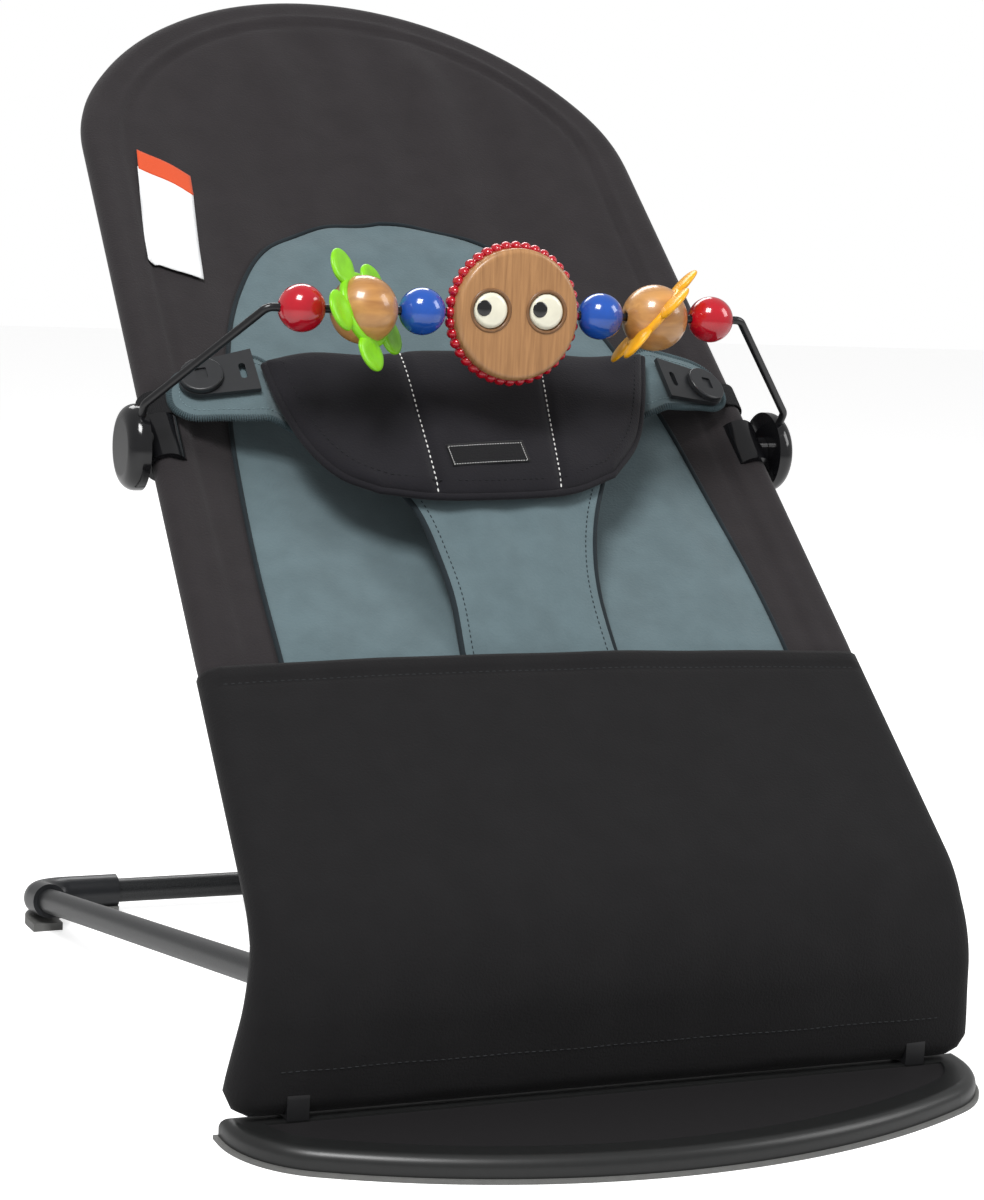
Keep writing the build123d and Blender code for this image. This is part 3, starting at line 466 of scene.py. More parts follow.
# %% Stitch tree
def end_tree(tree, given, lay):
    """The end that both trees share: the copies made real, smooth and painted."""
    kinds = ("GeometryNodeRealizeInstances", "GeometryNodeSetShadeSmooth", "GeometryNodeSetMaterial",
             "NodeGroupOutput")
    chain = [lay, *(tree.nodes.new(kind) for kind in kinds)]
    for before, after in zip(chain[:-1], chain[1:]):
        tree.links.new(before.outputs[0], after.inputs[0])
    tree.links.new(given.outputs["Material"], chain[3].inputs["Material"])


def stitch_tree():
    tree = bpy.data.node_groups.new("stitches", "GeometryNodeTree")
    ask = tree.interface.new_socket
    ask("Geometry", in_out="INPUT", socket_type="NodeSocketGeometry")
    ask("Pitch", in_out="INPUT", socket_type="NodeSocketFloat").default_value = 0.004
    ask("Size", in_out="INPUT", socket_type="NodeSocketVector").default_value = (0.001, 0.0004, 0.0003)
    ask("Material", in_out="INPUT", socket_type="NodeSocketMaterial")
    ask("Geometry", in_out="OUTPUT", socket_type="NodeSocketGeometry")
    nodes, links = tree.nodes, tree.links
    given, lay = nodes.new("NodeGroupInput"), nodes.new("GeometryNodeInstanceOnPoints")
    line, even = nodes.new("GeometryNodeMeshToCurve"), nodes.new("GeometryNodeResampleCurve")
    if hasattr(even, "mode"):
        even.mode = "LENGTH"
    up = nodes.new("GeometryNodeInputNamedAttribute")
    up.data_type = "FLOAT_VECTOR"
    up.inputs["Name"].default_value = "up"
    way = nodes.new("GeometryNodeInputTangent")
    along, flat = (nodes.new("FunctionNodeAlignRotationToVector") for _ in range(2))
    along.axis, flat.axis, flat.pivot_axis = "X", "Z", "X"
    one = nodes.new("GeometryNodeMeshIcoSphere")
    one.inputs["Radius"].default_value = 1.0
    one.inputs["Subdivisions"].default_value = 2
    links.new(given.outputs["Geometry"], line.inputs["Mesh"])
    links.new(line.outputs["Curve"], even.inputs["Curve"])
    links.new(given.outputs["Pitch"], even.inputs["Length"])
    links.new(way.outputs["Tangent"], along.inputs["Vector"])
    links.new(along.outputs["Rotation"], flat.inputs["Rotation"])
    links.new(up.outputs["Attribute"], flat.inputs["Vector"])
    links.new(even.outputs["Curve"], lay.inputs["Points"])
    links.new(one.outputs["Mesh"], lay.inputs["Instance"])
    links.new(flat.outputs["Rotation"], lay.inputs["Rotation"])
    links.new(given.outputs["Size"], lay.inputs["Scale"])
    end_tree(tree, given, lay)
    return tree


def run_tree(host, tree, values, name, material):
    """Runs a tree on an object with the named inputs set, and leaves its result as a plain mesh."""
    modifier = host.modifiers.new("nodes", "NODES")
    modifier.node_group = tree
    for item in tree.interface.items_tree:
        if item.in_out == "INPUT" and item.name in values:
            modifier[item.identifier] = values[item.name]
    host.update_tag()
    bpy.context.view_layer.update()
    shown = host.evaluated_get(bpy.context.evaluated_depsgraph_get())
    data = bpy.data.meshes.new_from_object(shown)
    data.name = name
    data.materials.clear()
    data.materials.append(material)
    made = bpy.data.objects.new(name, data)
    bpy.context.collection.objects.link(made)
    bpy.data.objects.remove(host, do_unlink=True)
    return made


stitching = stitch_tree()


def stitches(name, line, up, pitch, size, material, body):
    """Stitches along a line of points. up is the cloth's outward direction at each of them."""
    line = np.asarray(line, float)
    data = bpy.data.meshes.new("line")
    data.from_pydata([tuple(p) for p in line], [(i, i + 1) for i in range(len(line) - 1)], [])
    data.attributes.new("up", "FLOAT_VECTOR", "POINT")
    ups = np.broadcast_to(up, line.shape).astype(np.float32)
    data.attributes["up"].data.foreach_set("vector", ups.ravel())
    host = bpy.data.objects.new("line", data)
    bpy.context.collection.objects.link(host)
    made = run_tree(host, stitching, {"Pitch": pitch, "Size": size, "Material": material}, name, material)
    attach(made, body)
    return made


print("Stitch inputs:", [item.name for item in stitching.interface.items_tree])

# %% [markdown]
# ## The seat cover
# The cover is a flat bag of woven cotton, pulled over the hoop like a pillow case and left open
# at its lower end. Both layers are stretched from tube to tube and sag between them, most in the
# middle where the baby lies. A seam runs just inside the tubes, and soft folds run up the head,
# where the cloth turns over the arch.

# %% Seat cover
def sag(x, s):
    """How far the cloth hangs below the tubes' tops: nothing at the tubes, most in the middle."""
    share = np.clip(np.abs(x) / np.maximum(half_width(s), 1e-4), 0, 1)
    depth = 0.007 + 0.016 * ramp(s, 0.15, 0.33)
    return depth * (1 - share**2.2) * (1 - ramp(s, 0.42, 0.70) ** 1.5)


hoop_all = np.vstack([hoop_right, (hoop_right * [-1, 1])[::-1]])


def to_tube(x, s):
    """The distance to the nearest tube's centre line in the seat plane."""
    p = np.stack(np.broadcast_arrays(x, s), axis=-1).reshape(-1, 2)
    near = np.full(len(p), 1e9)
    for q in hoop_all:
        near = np.minimum(near, np.sum((p - q) ** 2, axis=1))
    return np.sqrt(near).reshape(np.broadcast(x, s).shape)


def cover_height(x, s):
    """The height of the cover's front layer above the tubes' plane."""
    gap = to_tube(x, s)
    inside = ramp(gap, 0.010, 0.050)
    head = ramp(s, 0.36, 0.52)
    folds = ripple(x, s, 11, 0.060, 0.45) * 0.0036 * inside * head
    folds = folds + ripple(x, s, 5, 0.110, 0.16) * 0.0012 * inside
    seam = 0.0013 * ridge(gap, 0.0125, 0.0022) - 0.0018 * ridge(gap, 0.0175, 0.0020)
    return SLEEVE - 0.0006 * ramp(-s, -0.175, -0.150) - sag(x, s) + folds + seam


def sleeve_sheet(grid, place, front, back, radius, wrap, wrap_steps=9):
    """Points and faces of a sheet that is stretched over a bent tube on three of its edges.
    grid is flat, from its free edge upwards. The sheet turns round the tube by wrap radians,
    and goes on as a back layer if back is given."""
    rows, columns = grid.shape[:2]
    x, s = grid[..., 0], grid[..., 1]
    points = [place(x, s, front(x, s)).reshape(-1, 3)]
    faces = grid_faces(rows, columns)
    index = np.arange(rows * columns).reshape(rows, columns)
    ring = np.concatenate([index[:, 0], index[-1, 1:-1], index[::-1, -1]])
    line = grid.reshape(-1, 2)[ring]
    way = np.gradient(line, axis=0)
    way /= np.linalg.norm(way, axis=1)[:, None]
    out = np.stack([-way[:, 1], way[:, 0]], axis=-1)
    size = radius(line[:, 0], line[:, 1])
    before, count = ring, rows * columns
    for k in range(1, wrap_steps + (0 if back else 1)):
        angle = math.pi / 2 - wrap * k / wrap_steps
        flat = line + out * (size * math.cos(angle))[:, None]
        points.append(place(flat[:, 0], flat[:, 1], size * math.sin(angle)))
        after = np.arange(count, count + len(ring))
        faces += [[a, b, c, d] for a, b, c, d in zip(before[:-1], before[1:], after[1:], after[:-1])]
        before, count = after, count + len(ring)
    if back:
        points.append(place(x, s, back(x, s)).reshape(-1, 3))
        faces += [[a + count, d + count, c + count, b + count] for a, b, c, d in grid_faces(rows, columns)]
        after = ring + count
        faces += [[a, b, c, d] for a, b, c, d in zip(before[:-1], before[1:], after[1:], after[:-1])]
    return np.vstack(points), faces


COVER_FOOT = 0.118
above_foot = hoop_right[hoop_right[:, 1] > COVER_FOOT]
foot_half = half_width(COVER_FOOT)
outline = np.vstack([[-foot_half, COVER_FOOT], above_foot * [-1, 1], above_foot[::-1],
                     [foot_half, COVER_FOOT]])
half_outline = outline[: len(outline) // 2]
corner = int(np.argmin(np.abs(half_outline[:, 0] + 0.122) + (half_outline[:, 1] < 0.6)))


def cover_back(x, s):
    """The back layer hangs less than the front."""
    folds = 0.0012 * ripple(x, s, 8, 0.08, 0.3) * ramp(to_tube(x, s), 0.01, 0.05)
    return -SLEEVE - 0.35 * sag(x, s) + folds


cover_grid = patch(
    spaced([outline[0], outline[-1]], 92),
    spaced(outline[corner : len(outline) - corner], 92),
    spaced(outline[: corner + 1], 140),
    spaced(outline[::-1][: corner + 1], 140),
)
points, faces = sleeve_sheet(cover_grid, seat, cover_height, cover_back, cover_height, math.pi)
cover = add_mesh("cover", points, faces, black_cloth, "seat")
print("Cover:", len(faces), "faces")

# %% [markdown]
# ## The slate lining
# The baby lies on a softer, lightly padded lining with an arched top. It is a second sheet laid on
# the cover, puffed up between its edges, with a dark piping sewn into the seam round it.

# %% Lining
LINING_TOP = 0.5165
lining_right = smooth_line(
    [(0.1435, 0.128), (0.1430, 0.170), (0.1415, 0.228), (0.1370, 0.290), (0.1320, 0.338),
     (0.1240, 0.383), (0.1140, 0.420), (0.1010, 0.452), (0.0850, 0.479), (0.0650, 0.498),
     (0.0360, 0.5115), (0.0, LINING_TOP)], 160)


def lining_height(x, s):
    """The lining's face: the cover's height, with a soft pad that ends in the seam."""
    half = np.interp(s, lining_right[:, 1], lining_right[:, 0])
    gap = np.minimum(half - np.abs(x), (LINING_TOP - s) * 0.9)
    pad = 0.0045 * ramp(gap, 0.0, 0.028)
    return cover_height(x, s) + 0.0009 + pad - 0.0004 * ripple(x, s, 3, 0.05, 0.2)


lining_grid = symmetric_grid(lining_right, 102, 80, 110)
lx, ls = lining_grid[..., 0], lining_grid[..., 1]
lining = thicken(add_mesh("lining", seat(lx, ls, lining_height(lx, ls)), grid_faces(110, 80), slate_cloth,
                          "seat", off_seat), 0.0008)
lining_edge = np.vstack([lining_right * [-1, 1], lining_right[:-1][::-1]])
ex, es = lining_edge.T
lining_piping = add_tube("lining_piping", seat(ex, es, cover_height(ex, es) + 0.0008), 0.0014, slate_piping,
                         "seat", 8)
print("Lining is", round(2 * float(lining_right[:, 0].max()), 3), "m wide")

# %% [markdown]
# ## The front band
# The lower front is a plain black band that goes round both legs, over the knee and down round
# the floor crossbar. The baby's weight and the strap push its hem out a little. It is open at
# the back, where the stand's hinges sit.

# %% Front band
band_top = along_tube(BAND_TOP)
band_height = 0.0092
band_foot_height = 0.0099
band_reach = 0.186
foot_corner = 0.005


def leg_half(q):
    """Half the distance between the tubes' centres, a distance q along them from the crossbar."""
    s = np.maximum(q - along_tube(0.0), -0.07)
    low = FOOT_HALF - (FOOT_HALF - KNEE_HALF) * np.clip(q / LEG, 0, 1)
    return np.where(q < LEG, low, KNEE_HALF - SIDE_SLOPE * np.maximum(s, 0))


def band_place(x, r, h):
    """The band's flat coordinates run down from its hem."""
    return round_knee(x, band_top - r, h)


def band_size(x, r):
    """The band stands a little further off the tubes at its foot."""
    more = (band_foot_height - band_height) * ramp(r, band_top - 0.040, band_top - 0.002)
    return band_height + more + 0 * x


def band_front(x, r):
    share = np.clip(np.abs(x) / band_reach, 0, 1)
    inside = band_reach - np.abs(x)
    rise = 0.0055 * (1 - share**2) * ramp(-r, -0.215, -0.10)
    hem = 0.0011 * np.exp(-(((r - 0.0045) / 0.0045) ** 4)) - 0.0012 * ridge(r, 0.0104, 0.0014)
    folds = 0.0007 * ripple(x, r, 21, 0.09, 0.11) * ramp(inside, 0.0, 0.05)
    low_down = ramp(r, 0.13, 0.18) * ramp(-r, -0.235, -0.20)
    pull = 0.0005 * ripple(x, r, 29, 0.035, 0.30) * low_down * ramp(inside, 0.0, 0.03)
    return band_size(x, r) + rise + hem + folds + pull


foot_turn = np.linspace(0, math.pi / 2, 14)[1:]
down_leg = np.linspace(band_top, 0.006, 90)
band_side = np.vstack([
    np.stack([leg_half(down_leg), band_top - down_leg], axis=-1),
    np.stack([FOOT_HALF - foot_corner + foot_corner * np.cos(foot_turn) - 0.0003,
              band_top - foot_corner + foot_corner * np.sin(foot_turn)], axis=-1),
    [[0.0, band_top]],
])
band_grid = symmetric_grid(band_side, len(down_leg), 120, 90)
points, faces = sleeve_sheet(band_grid, band_place, band_front, None, band_size, math.radians(205), 10)
forwards = round_knee(0, band_top * 0.5, 1) - round_knee(0, band_top * 0.5, 0)
band = thicken(add_mesh("front_band_cloth", points, faces, band_cloth, "seat", forwards),
               0.0010)
hem_x = np.linspace(-0.176, 0.176, 200)
for name, r in (("band_hem_stitches", 0.0103), ("band_foot_stitches", band_top - 0.0165)):
    line_h = band_front(hem_x, np.full(200, r))
    stitches(name, band_place(hem_x, r, line_h + 0.0001),
             (round_knee(0, band_top - r, 1) - round_knee(0, band_top - r, 0)).astype(float),
             0.0036, (0.0012, 0.00030, 0.00022), hem_thread, "seat")
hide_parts("front_band")
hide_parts("seat_cover")
print("Band:", len(faces), "faces, hem at", [round(float(c), 3) for c in seat(0, BAND_TOP, band_height)])

# %% [markdown]
# ## The padded belt
# A dark padded panel lies across the baby's waist, with piping round its lower edge and two
# quilted lines of pale stitching that draw it in. Its upper edge is loose and wavy. It stands
# well clear of the seat, which is where the baby goes.

# %% Belt
belt_left = smooth_line(
    [(-0.1165, 0.3570), (-0.1135, 0.3270), (-0.1060, 0.2960), (-0.0930, 0.2730), (-0.0740, 0.2605)], 70)
belt_low = smooth_line(
    [(-0.0740, 0.2605), (-0.0430, 0.2545), (0.0, 0.2545), (0.0340, 0.2585), (0.0630, 0.2715)], 110)
belt_right = smooth_line([(0.1120, 0.3665), (0.1000, 0.3290), (0.0850, 0.2970), (0.0630, 0.2715)], 70)
belt_high = smooth_line(
    [(-0.1165, 0.3570), (-0.092, 0.3600), (-0.060, 0.3585), (-0.030, 0.3625), (0.004, 0.3605),
     (0.040, 0.3650), (0.076, 0.3630), (0.1120, 0.3665)], 110)
belt_grid = patch(belt_low, belt_high, belt_left[::-1], belt_right[::-1])
quilt = [np.array([(-0.0385, 0.3600), (-0.0440, 0.2570)]), np.array([(0.0440, 0.3640), (0.0275, 0.2600)])]


def quilt_gap(x, s):
    """The distance to the nearer of the two stitched lines."""
    gap = np.full(np.broadcast(x, s).shape, 1.0)
    for top, foot in quilt:
        gap = np.minimum(gap, np.abs(x - np.interp(s, [foot[1], top[1]], [foot[0], top[0]])))
    return gap


def belt_middle(x, s):
    """The height of the belt's mid layer: arched over the waist, lower at its sides."""
    return 0.0350 - 0.0065 * (x / 0.116) ** 2 + 0.0018 * np.sin(x * 62 + 0.8) * ramp(s, 0.330, 0.366)


def belt_pad(u, v, x, s):
    """Half the belt's thickness: full in the middle and drawn in at the edges and the quilting."""
    edge = np.minimum(np.minimum(u, 1 - u) * 0.21, np.minimum(v * 0.10, (1 - v) * 0.10 + 0.0006))
    full = np.sqrt(np.clip(1 - (1 - np.clip(edge / 0.016, 0, 1)) ** 2, 0, 1))
    drawn_in = 1 - 0.42 * ridge(quilt_gap(x, s), 0, 0.0028)
    return (0.0056 * full + 0.0003) * drawn_in + 0.0006 * ripple(x, s, 17, 0.04, 0.07) * full


rows, columns = belt_grid.shape[:2]
u, v = np.meshgrid(np.linspace(0, 1, columns), np.linspace(0, 1, rows))
bx, bs = belt_grid[..., 0], belt_grid[..., 1]
pad = belt_pad(u, v, bx, bs)
outer = seat(bx, bs, belt_middle(bx, bs) + pad).reshape(-1, 3)
inner = seat(bx, bs, belt_middle(bx, bs) - 0.8 * pad).reshape(-1, 3)
faces = grid_faces(rows, columns)
faces += [[a + rows * columns for a in face[::-1]] for face in faces]
index = np.arange(rows * columns).reshape(rows, columns)
ring = np.concatenate([index[0, :-1], index[:-1, -1], index[-1, :0:-1], index[:0:-1, 0]])
faces += [[a, b, b + rows * columns, a + rows * columns] for a, b in zip(ring, np.roll(ring, -1))]
belt = add_mesh("belt", np.vstack([outer, inner]), faces, belt_cloth, "seat")
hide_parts("harness_panel")

edge = np.vstack([belt_left, belt_low[1:-1], belt_right[::-1]])
add_tube("belt_piping", seat(edge[:, 0], edge[:, 1], belt_middle(edge[:, 0], edge[:, 1])), 0.0021,
         belt_cloth, "seat", 10)
inset = np.array([0.0, 0.312]) + (edge - [0.0, 0.312]) * [0.925, 0.88]
for number, line in enumerate([*quilt, inset]):
    line = spaced(line, 160)
    near = np.argmin((bx.reshape(1, -1) - line[:, :1]) ** 2 + (bs.reshape(1, -1) - line[:, 1:]) ** 2, axis=1)
    height = (belt_middle(bx, bs) + pad).reshape(-1)[near]
    height = np.convolve(np.pad(height, 4, mode="edge"), np.ones(9) / 9, mode="valid")
    thread = white_thread if number < len(quilt) else dark_thread
    stitches(f"belt_stitches_{number}", seat(line[:, 0], line[:, 1], height), off_seat,
             0.0037, (0.0012, 0.00042, 0.0004), thread, "seat")
print("Belt:", round(float(np.ptp(bx)), 3), "x", round(float(np.ptp(bs)), 3), "m")

# %% [markdown]
# ## The crotch strap
# A waisted strap of the lining's cloth comes up from under the band's hem to the belt. It is two
# layers, turned and edged with piping, with a line of stitching a few millimetres in.

# %% Crotch strap
strap_left = smooth_line(
    [(-0.0470, 0.140), (-0.0455, 0.170), (-0.0445, 0.200), (-0.0475, 0.225), (-0.0530, 0.250),
     (-0.0640, 0.274)], 90)
strap_right = smooth_line(
    [(0.0430, 0.140), (0.0400, 0.170), (0.0390, 0.200), (0.0420, 0.225), (0.0490, 0.250),
     (0.0610, 0.276)], 90)
strap_grid = patch(spaced([strap_left[0], strap_right[0]], 44),
                   spaced([strap_left[-1], strap_right[-1]], 44), strap_left, strap_right)


def strap_height(x, s):
    lift = np.interp(s, [0.14, 0.17, 0.20, 0.23, 0.255, 0.28],
                     [0.0045, 0.0085, 0.0145, 0.0205, 0.0255, 0.0285])
    return lift + 0.0030 * (1 - (x / 0.06) ** 2) + 0.0009 * ripple(x, s, 41, 0.04, 0.12)


sx, ss = strap_grid[..., 0], strap_grid[..., 1]
strap = thicken(add_mesh("strap", seat(sx, ss, strap_height(sx, ss)), grid_faces(90, 44), slate_cloth,
                         "seat", off_seat), 0.0026)
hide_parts("crotch_strap")
for name, line, side in (("left", strap_left, 1), ("right", strap_right, -1)):
    x, s = line.T
    add_tube(f"strap_piping_{name}", seat(x, s, strap_height(x, s) - 0.0012), 0.0017, slate_piping,
             "seat", 8)
    x = x + side * 0.0052
    stitches(f"strap_stitches_{name}", seat(x, s, strap_height(x, s) + 0.0001),
             off_seat, 0.0031, (0.0010, 0.0003, 0.00025), slate_piping, "seat")
print("Strap is", round(float(strap_right[60, 0] - strap_left[60, 0]), 3), "m wide at its waist")

# %% [markdown]
# ## Side tabs, webbing and labels
# On each side a slate tab runs from under the belt to the plastic adjuster, with an overlocked
# edge. A ribbed elastic goes on from it round the tube. The two sewn labels are left blank.

# %% Tabs
TAB_PLACE = 0.352
for name, side, shift in (("left", -1, -0.0065), ("right", 1, 0.0065)):
    middle = TAB_PLACE + shift
    corners = [(0.099, -0.027), (0.120, -0.025), (0.145, -0.019), (0.158, -0.016), (0.166, -0.008),
               (0.167, 0.002), (0.163, 0.013), (0.152, 0.0185), (0.130, 0.0195), (0.112, 0.0195),
               (0.099, 0.018)]
    edge = smooth_line(corners, 120)
    lower, upper = spaced(edge[:66], 40), spaced(edge[65:][::-1], 40)
    tab_grid = patch(lower, upper, spaced([lower[0], upper[0]], 26), spaced([lower[-1], upper[-1]], 26))

    def tab_height(x):
        return 0.0262 - 0.27 * np.maximum(x - 0.1175, 0) - 0.55 * np.maximum(0.1205 - x, 0)

    tx, ts = tab_grid[..., 0], tab_grid[..., 1]
    tab = thicken(add_mesh(f"tab_{name}", seat(side * tx, middle + ts, tab_height(tx) - 0.0002),
                           grid_faces(26, 40), slate_cloth, "seat", off_seat), 0.0026)
    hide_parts(f"harness_tab_{name}")
    rim = spaced(edge, 200)
    rim_line = seat(side * rim[:, 0], middle + rim[:, 1], tab_height(rim[:, 0]) - 0.0014)
    stitches(f"tab_binding_{name}", rim_line, off_seat, 0.0013, (0.00075, 0.0021, 0.0021), binding,
             "seat")
    near = [0.132, 0.0] + (rim - [0.132, 0.0]) * [0.86, 0.76]
    near_line = seat(side * near[:, 0], middle + near[:, 1], tab_height(near[:, 0]))
    stitches(f"tab_stitches_{name}", near_line, off_seat, 0.0026, (0.0008, 0.0003, 0.0003), slate_thread,
             "seat")

    turn = np.linspace(0, math.radians(150), 16)
    tube_x = float(half_width(TAB_PLACE))
    reach = SLEEVE + 0.0016
    cross = np.vstack([
        [(0.150, 0.0150), (0.156, 0.0125)],
        np.stack([tube_x + reach * np.sin(turn), reach * np.cos(turn)], axis=-1),
    ])
    cross = spaced(cross, 120)
    ribs = np.linspace(-0.0085, 0.0085, 41)
    wx = np.broadcast_to(cross[:, :1], (120, 41))
    lift = 0.00045 * np.cos(np.linspace(0, 2 * math.pi * 40, 120))[:, None] * (np.abs(ribs) < 0.0083)
    wh = cross[:, 1:] + lift + 0 * ribs
    webbing = thicken(add_mesh(f"elastic_{name}", seat(side * wx, middle + ribs[None] + 0 * wx, wh),
                               grid_faces(120, 41), elastic, "seat", (side, 0, 0.5)), 0.0009)
    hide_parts(f"webbing_{name}")


def label_piece(name, corners, material, lift, rows=24, columns=16):
    """A small flat label between four corners (low left, low right, high right, high left)."""
    a, b, c, d = (np.array(p) for p in corners)
    grid = patch(spaced([a, b], columns), spaced([d, c], columns), spaced([a, d], rows), spaced([b, c], rows))
    x, s = grid[..., 0], grid[..., 1]
    made = add_mesh(name, seat(x, s, lift(x, s)), grid_faces(rows, columns), material, "seat", off_seat)
    return thicken(made, 0.0005)


def on_cover(x, s):
    return cover_height(x, s) + 0.0009 + 0.0016 * ramp(-s, -0.49, -0.45)


tag = label_piece("tag", [(-0.1560, 0.4600), (-0.1240, 0.4520), (-0.1150, 0.5265), (-0.1465, 0.5420)],
                  tag_white, on_cover)
tag_head = label_piece(
    "tag_head", [(-0.1463, 0.5400), (-0.1151, 0.5245), (-0.1140, 0.5405), (-0.1445, 0.5560)],
    tag_orange, lambda x, s: on_cover(x, s) + 0.0002, 10, 16)
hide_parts("blank_label")


def on_belt(x, s):
    return belt_middle(x, s) + 0.0064


patch_corners = [(-0.0330, 0.2700), (0.0125, 0.2735), (0.0120, 0.2895), (-0.0335, 0.2860)]
patch_label = label_piece("patch", patch_corners, patch_cloth, on_belt, 10, 24)
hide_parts("blank_patch")
border = np.array([*patch_corners, patch_corners[0]])
border = border.mean(axis=0) + (border - border.mean(axis=0)) * [0.94, 0.80]
border = np.vstack([spaced(border[i : i + 2], 24)[: None if i == 3 else -1] for i in range(4)])
stitches("patch_stitches", seat(border[:, 0], border[:, 1], on_belt(border[:, 0], border[:, 1]) + 0.0001),
         off_seat, 0.0015, (0.00045, 0.0002, 0.0002), white_thread,
         "seat")

# %% [markdown]
# ## Toys on the wire
# The beads and balls are turned wood, so each is a fine sphere, a little flattened where it is
# drilled. Each spins on the wire with its own body.

# %% Beads and balls
def turned(name, node, material, slot, radius):
    """A sphere drilled along X, at the node's own centre."""
    low, high = (np.array(c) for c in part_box(node))
    centre = (low + high) / 2
    angle = np.linspace(0.19, math.pi - 0.19, 49)
    around = np.linspace(0, 2 * math.pi, 96, endpoint=False)
    x = radius * np.cos(angle)
    r = radius * np.sin(angle)
    x = np.concatenate([[x[0] - 0.0012], x, [x[-1] + 0.0012]])
    r = np.concatenate([[0.0023], r, [0.0023]])
    rows, sides = len(x), len(around)
    points = np.stack([np.broadcast_to(x[:, None], (rows, sides)), r[:, None] * np.cos(around),
                       r[:, None] * np.sin(around)], axis=-1)
    faces = grid_faces(rows, sides, closed=True)
    made = add_mesh(name, points.reshape(-1, 3) + centre, faces, material, body_with(node))
    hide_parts(node)
    return centre


def body_with(node):
    """The body that carries a CAD node."""
    return next(body for body, names in record["behaviour"]["bodies"].items() if node in names)


places = {}
for side in ("left", "right"):
    places["red_" + side] = turned(f"red_ball_{side}", f"bead_red_{side}", red, "bead_red", 0.0125)
    places["blue_" + side] = turned(f"blue_ball_{side}", f"bead_blue_{side}", blue, "bead_blue", 0.0125)
    places["wood_" + side] = turned(f"wood_ball_{side}", f"ball_wood_{side}", ball_wood, "wood", 0.0180)
print({name: [round(float(c), 4) for c in place] for name, place in places.items()})

# %% [markdown]
# ## Flowers
# Each flower is one plastic moulding: a ring in the ball's groove and five petals shaped like
# small spoons. One petal is drawn from a rounded section that widens and closes at its tip, and
# is then copied round. The frame's flower gives the axis and where the petals point.

# %% Flowers
def petal(lift, dish):
    """One petal along +X, with its root in the ring."""
    steps, sides = 26, 28
    t = np.linspace(0, 1, steps)
    r = 0.0155 + (0.0350 - 0.0155) * np.sin(t * math.pi / 2) ** 0.9
    half = np.where(r > 0.0240, np.sqrt(np.clip(1 - ((r - 0.0240) / 0.0110) ** 2, 0, 1)) * 0.0113,
                    0.0078 + 0.0035 * ramp(r, 0.0160, 0.0240))
    thick = 0.0027 * np.sqrt(np.clip(1 - ((r - 0.0160) / 0.0191) ** 4, 0, 1)) + 0.0001
    turn = np.linspace(0, 2 * math.pi, sides, endpoint=False)
    y = half[:, None] * np.cos(turn)
    z = thick[:, None] * np.sin(turn) + lift * (t[:, None] ** 2)
    hollow = dish * ridge(r, 0.0255, 0.0065)[:, None] * (1 - (y / 0.0110) ** 2)
    z = z - hollow * np.clip(np.sin(turn), 0, 1)
    points = np.stack([np.broadcast_to(r[:, None], y.shape), y, z], axis=-1).reshape(-1, 3)
    faces = grid_faces(steps, sides, closed=True)
    faces += [list(range(sides))[::-1], [(steps - 1) * sides + j for j in range(sides)]]
    return points, faces


def flower(name, node, centre, swing, spin, material):
    """Five petals and their ring, in the plane of the frame's flower."""
    axis = Vector((math.cos(swing), math.sin(swing) * math.cos(spin), math.sin(swing) * math.sin(spin)))
    found = frame["nodes"][node]
    corners = np.array([tuple(found.matrix_world @ v.co) for v in found.data.vertices]) - centre
    flat = corners - np.outer(corners @ np.array(axis), np.array(axis))
    first = Vector(flat[np.argmax(np.linalg.norm(flat, axis=1))]).normalized()
    turn = Matrix((first, axis.cross(first), axis)).transposed()
    points, faces = petal(0.0004, 0.0016)
    all_points, all_faces = [], []
    for k in range(5):
        angle = 2 * math.pi * k / 5
        spun = points @ np.array(Matrix.Rotation(angle, 3, "Z")).T
        all_faces += [[a + k * len(points) for a in face] for face in faces]
        all_points.append(spun)
    around = np.linspace(0, 2 * math.pi, 90, endpoint=False)
    line = np.stack([0.0186 * np.cos(around), 0.0186 * np.sin(around), 0 * around], axis=-1)
    ring, ring_faces = tube_points(line, 0.0022, 12, closed=True)
    all_faces += [[a + 5 * len(points) for a in face] for face in ring_faces]
    all_points.append(ring)
    placed = np.vstack(all_points) @ np.array(turn).T + centre
    made = add_mesh(name, placed, all_faces, material, body_with(node))
    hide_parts(node)
    return axis


for colour, side, swing, spin, material in (("green", "left", 51.5, 149.0, petal_green),
                                            ("yellow", "right", 43.0, -110.7, petal_yellow)):
    faces_way = flower(f"{colour}_flower", f"flower_{colour}", places["wood_" + side], math.radians(swing),
                       math.radians(spin), material)
    print(f"The {colour} flower faces", faces_way)

# %% [markdown]
# ## The face's rim
# The disc sits in a ring that looks like a string of red beads. A Geometry Nodes tree sets the
# same bead round a circle and adds the band that holds them.

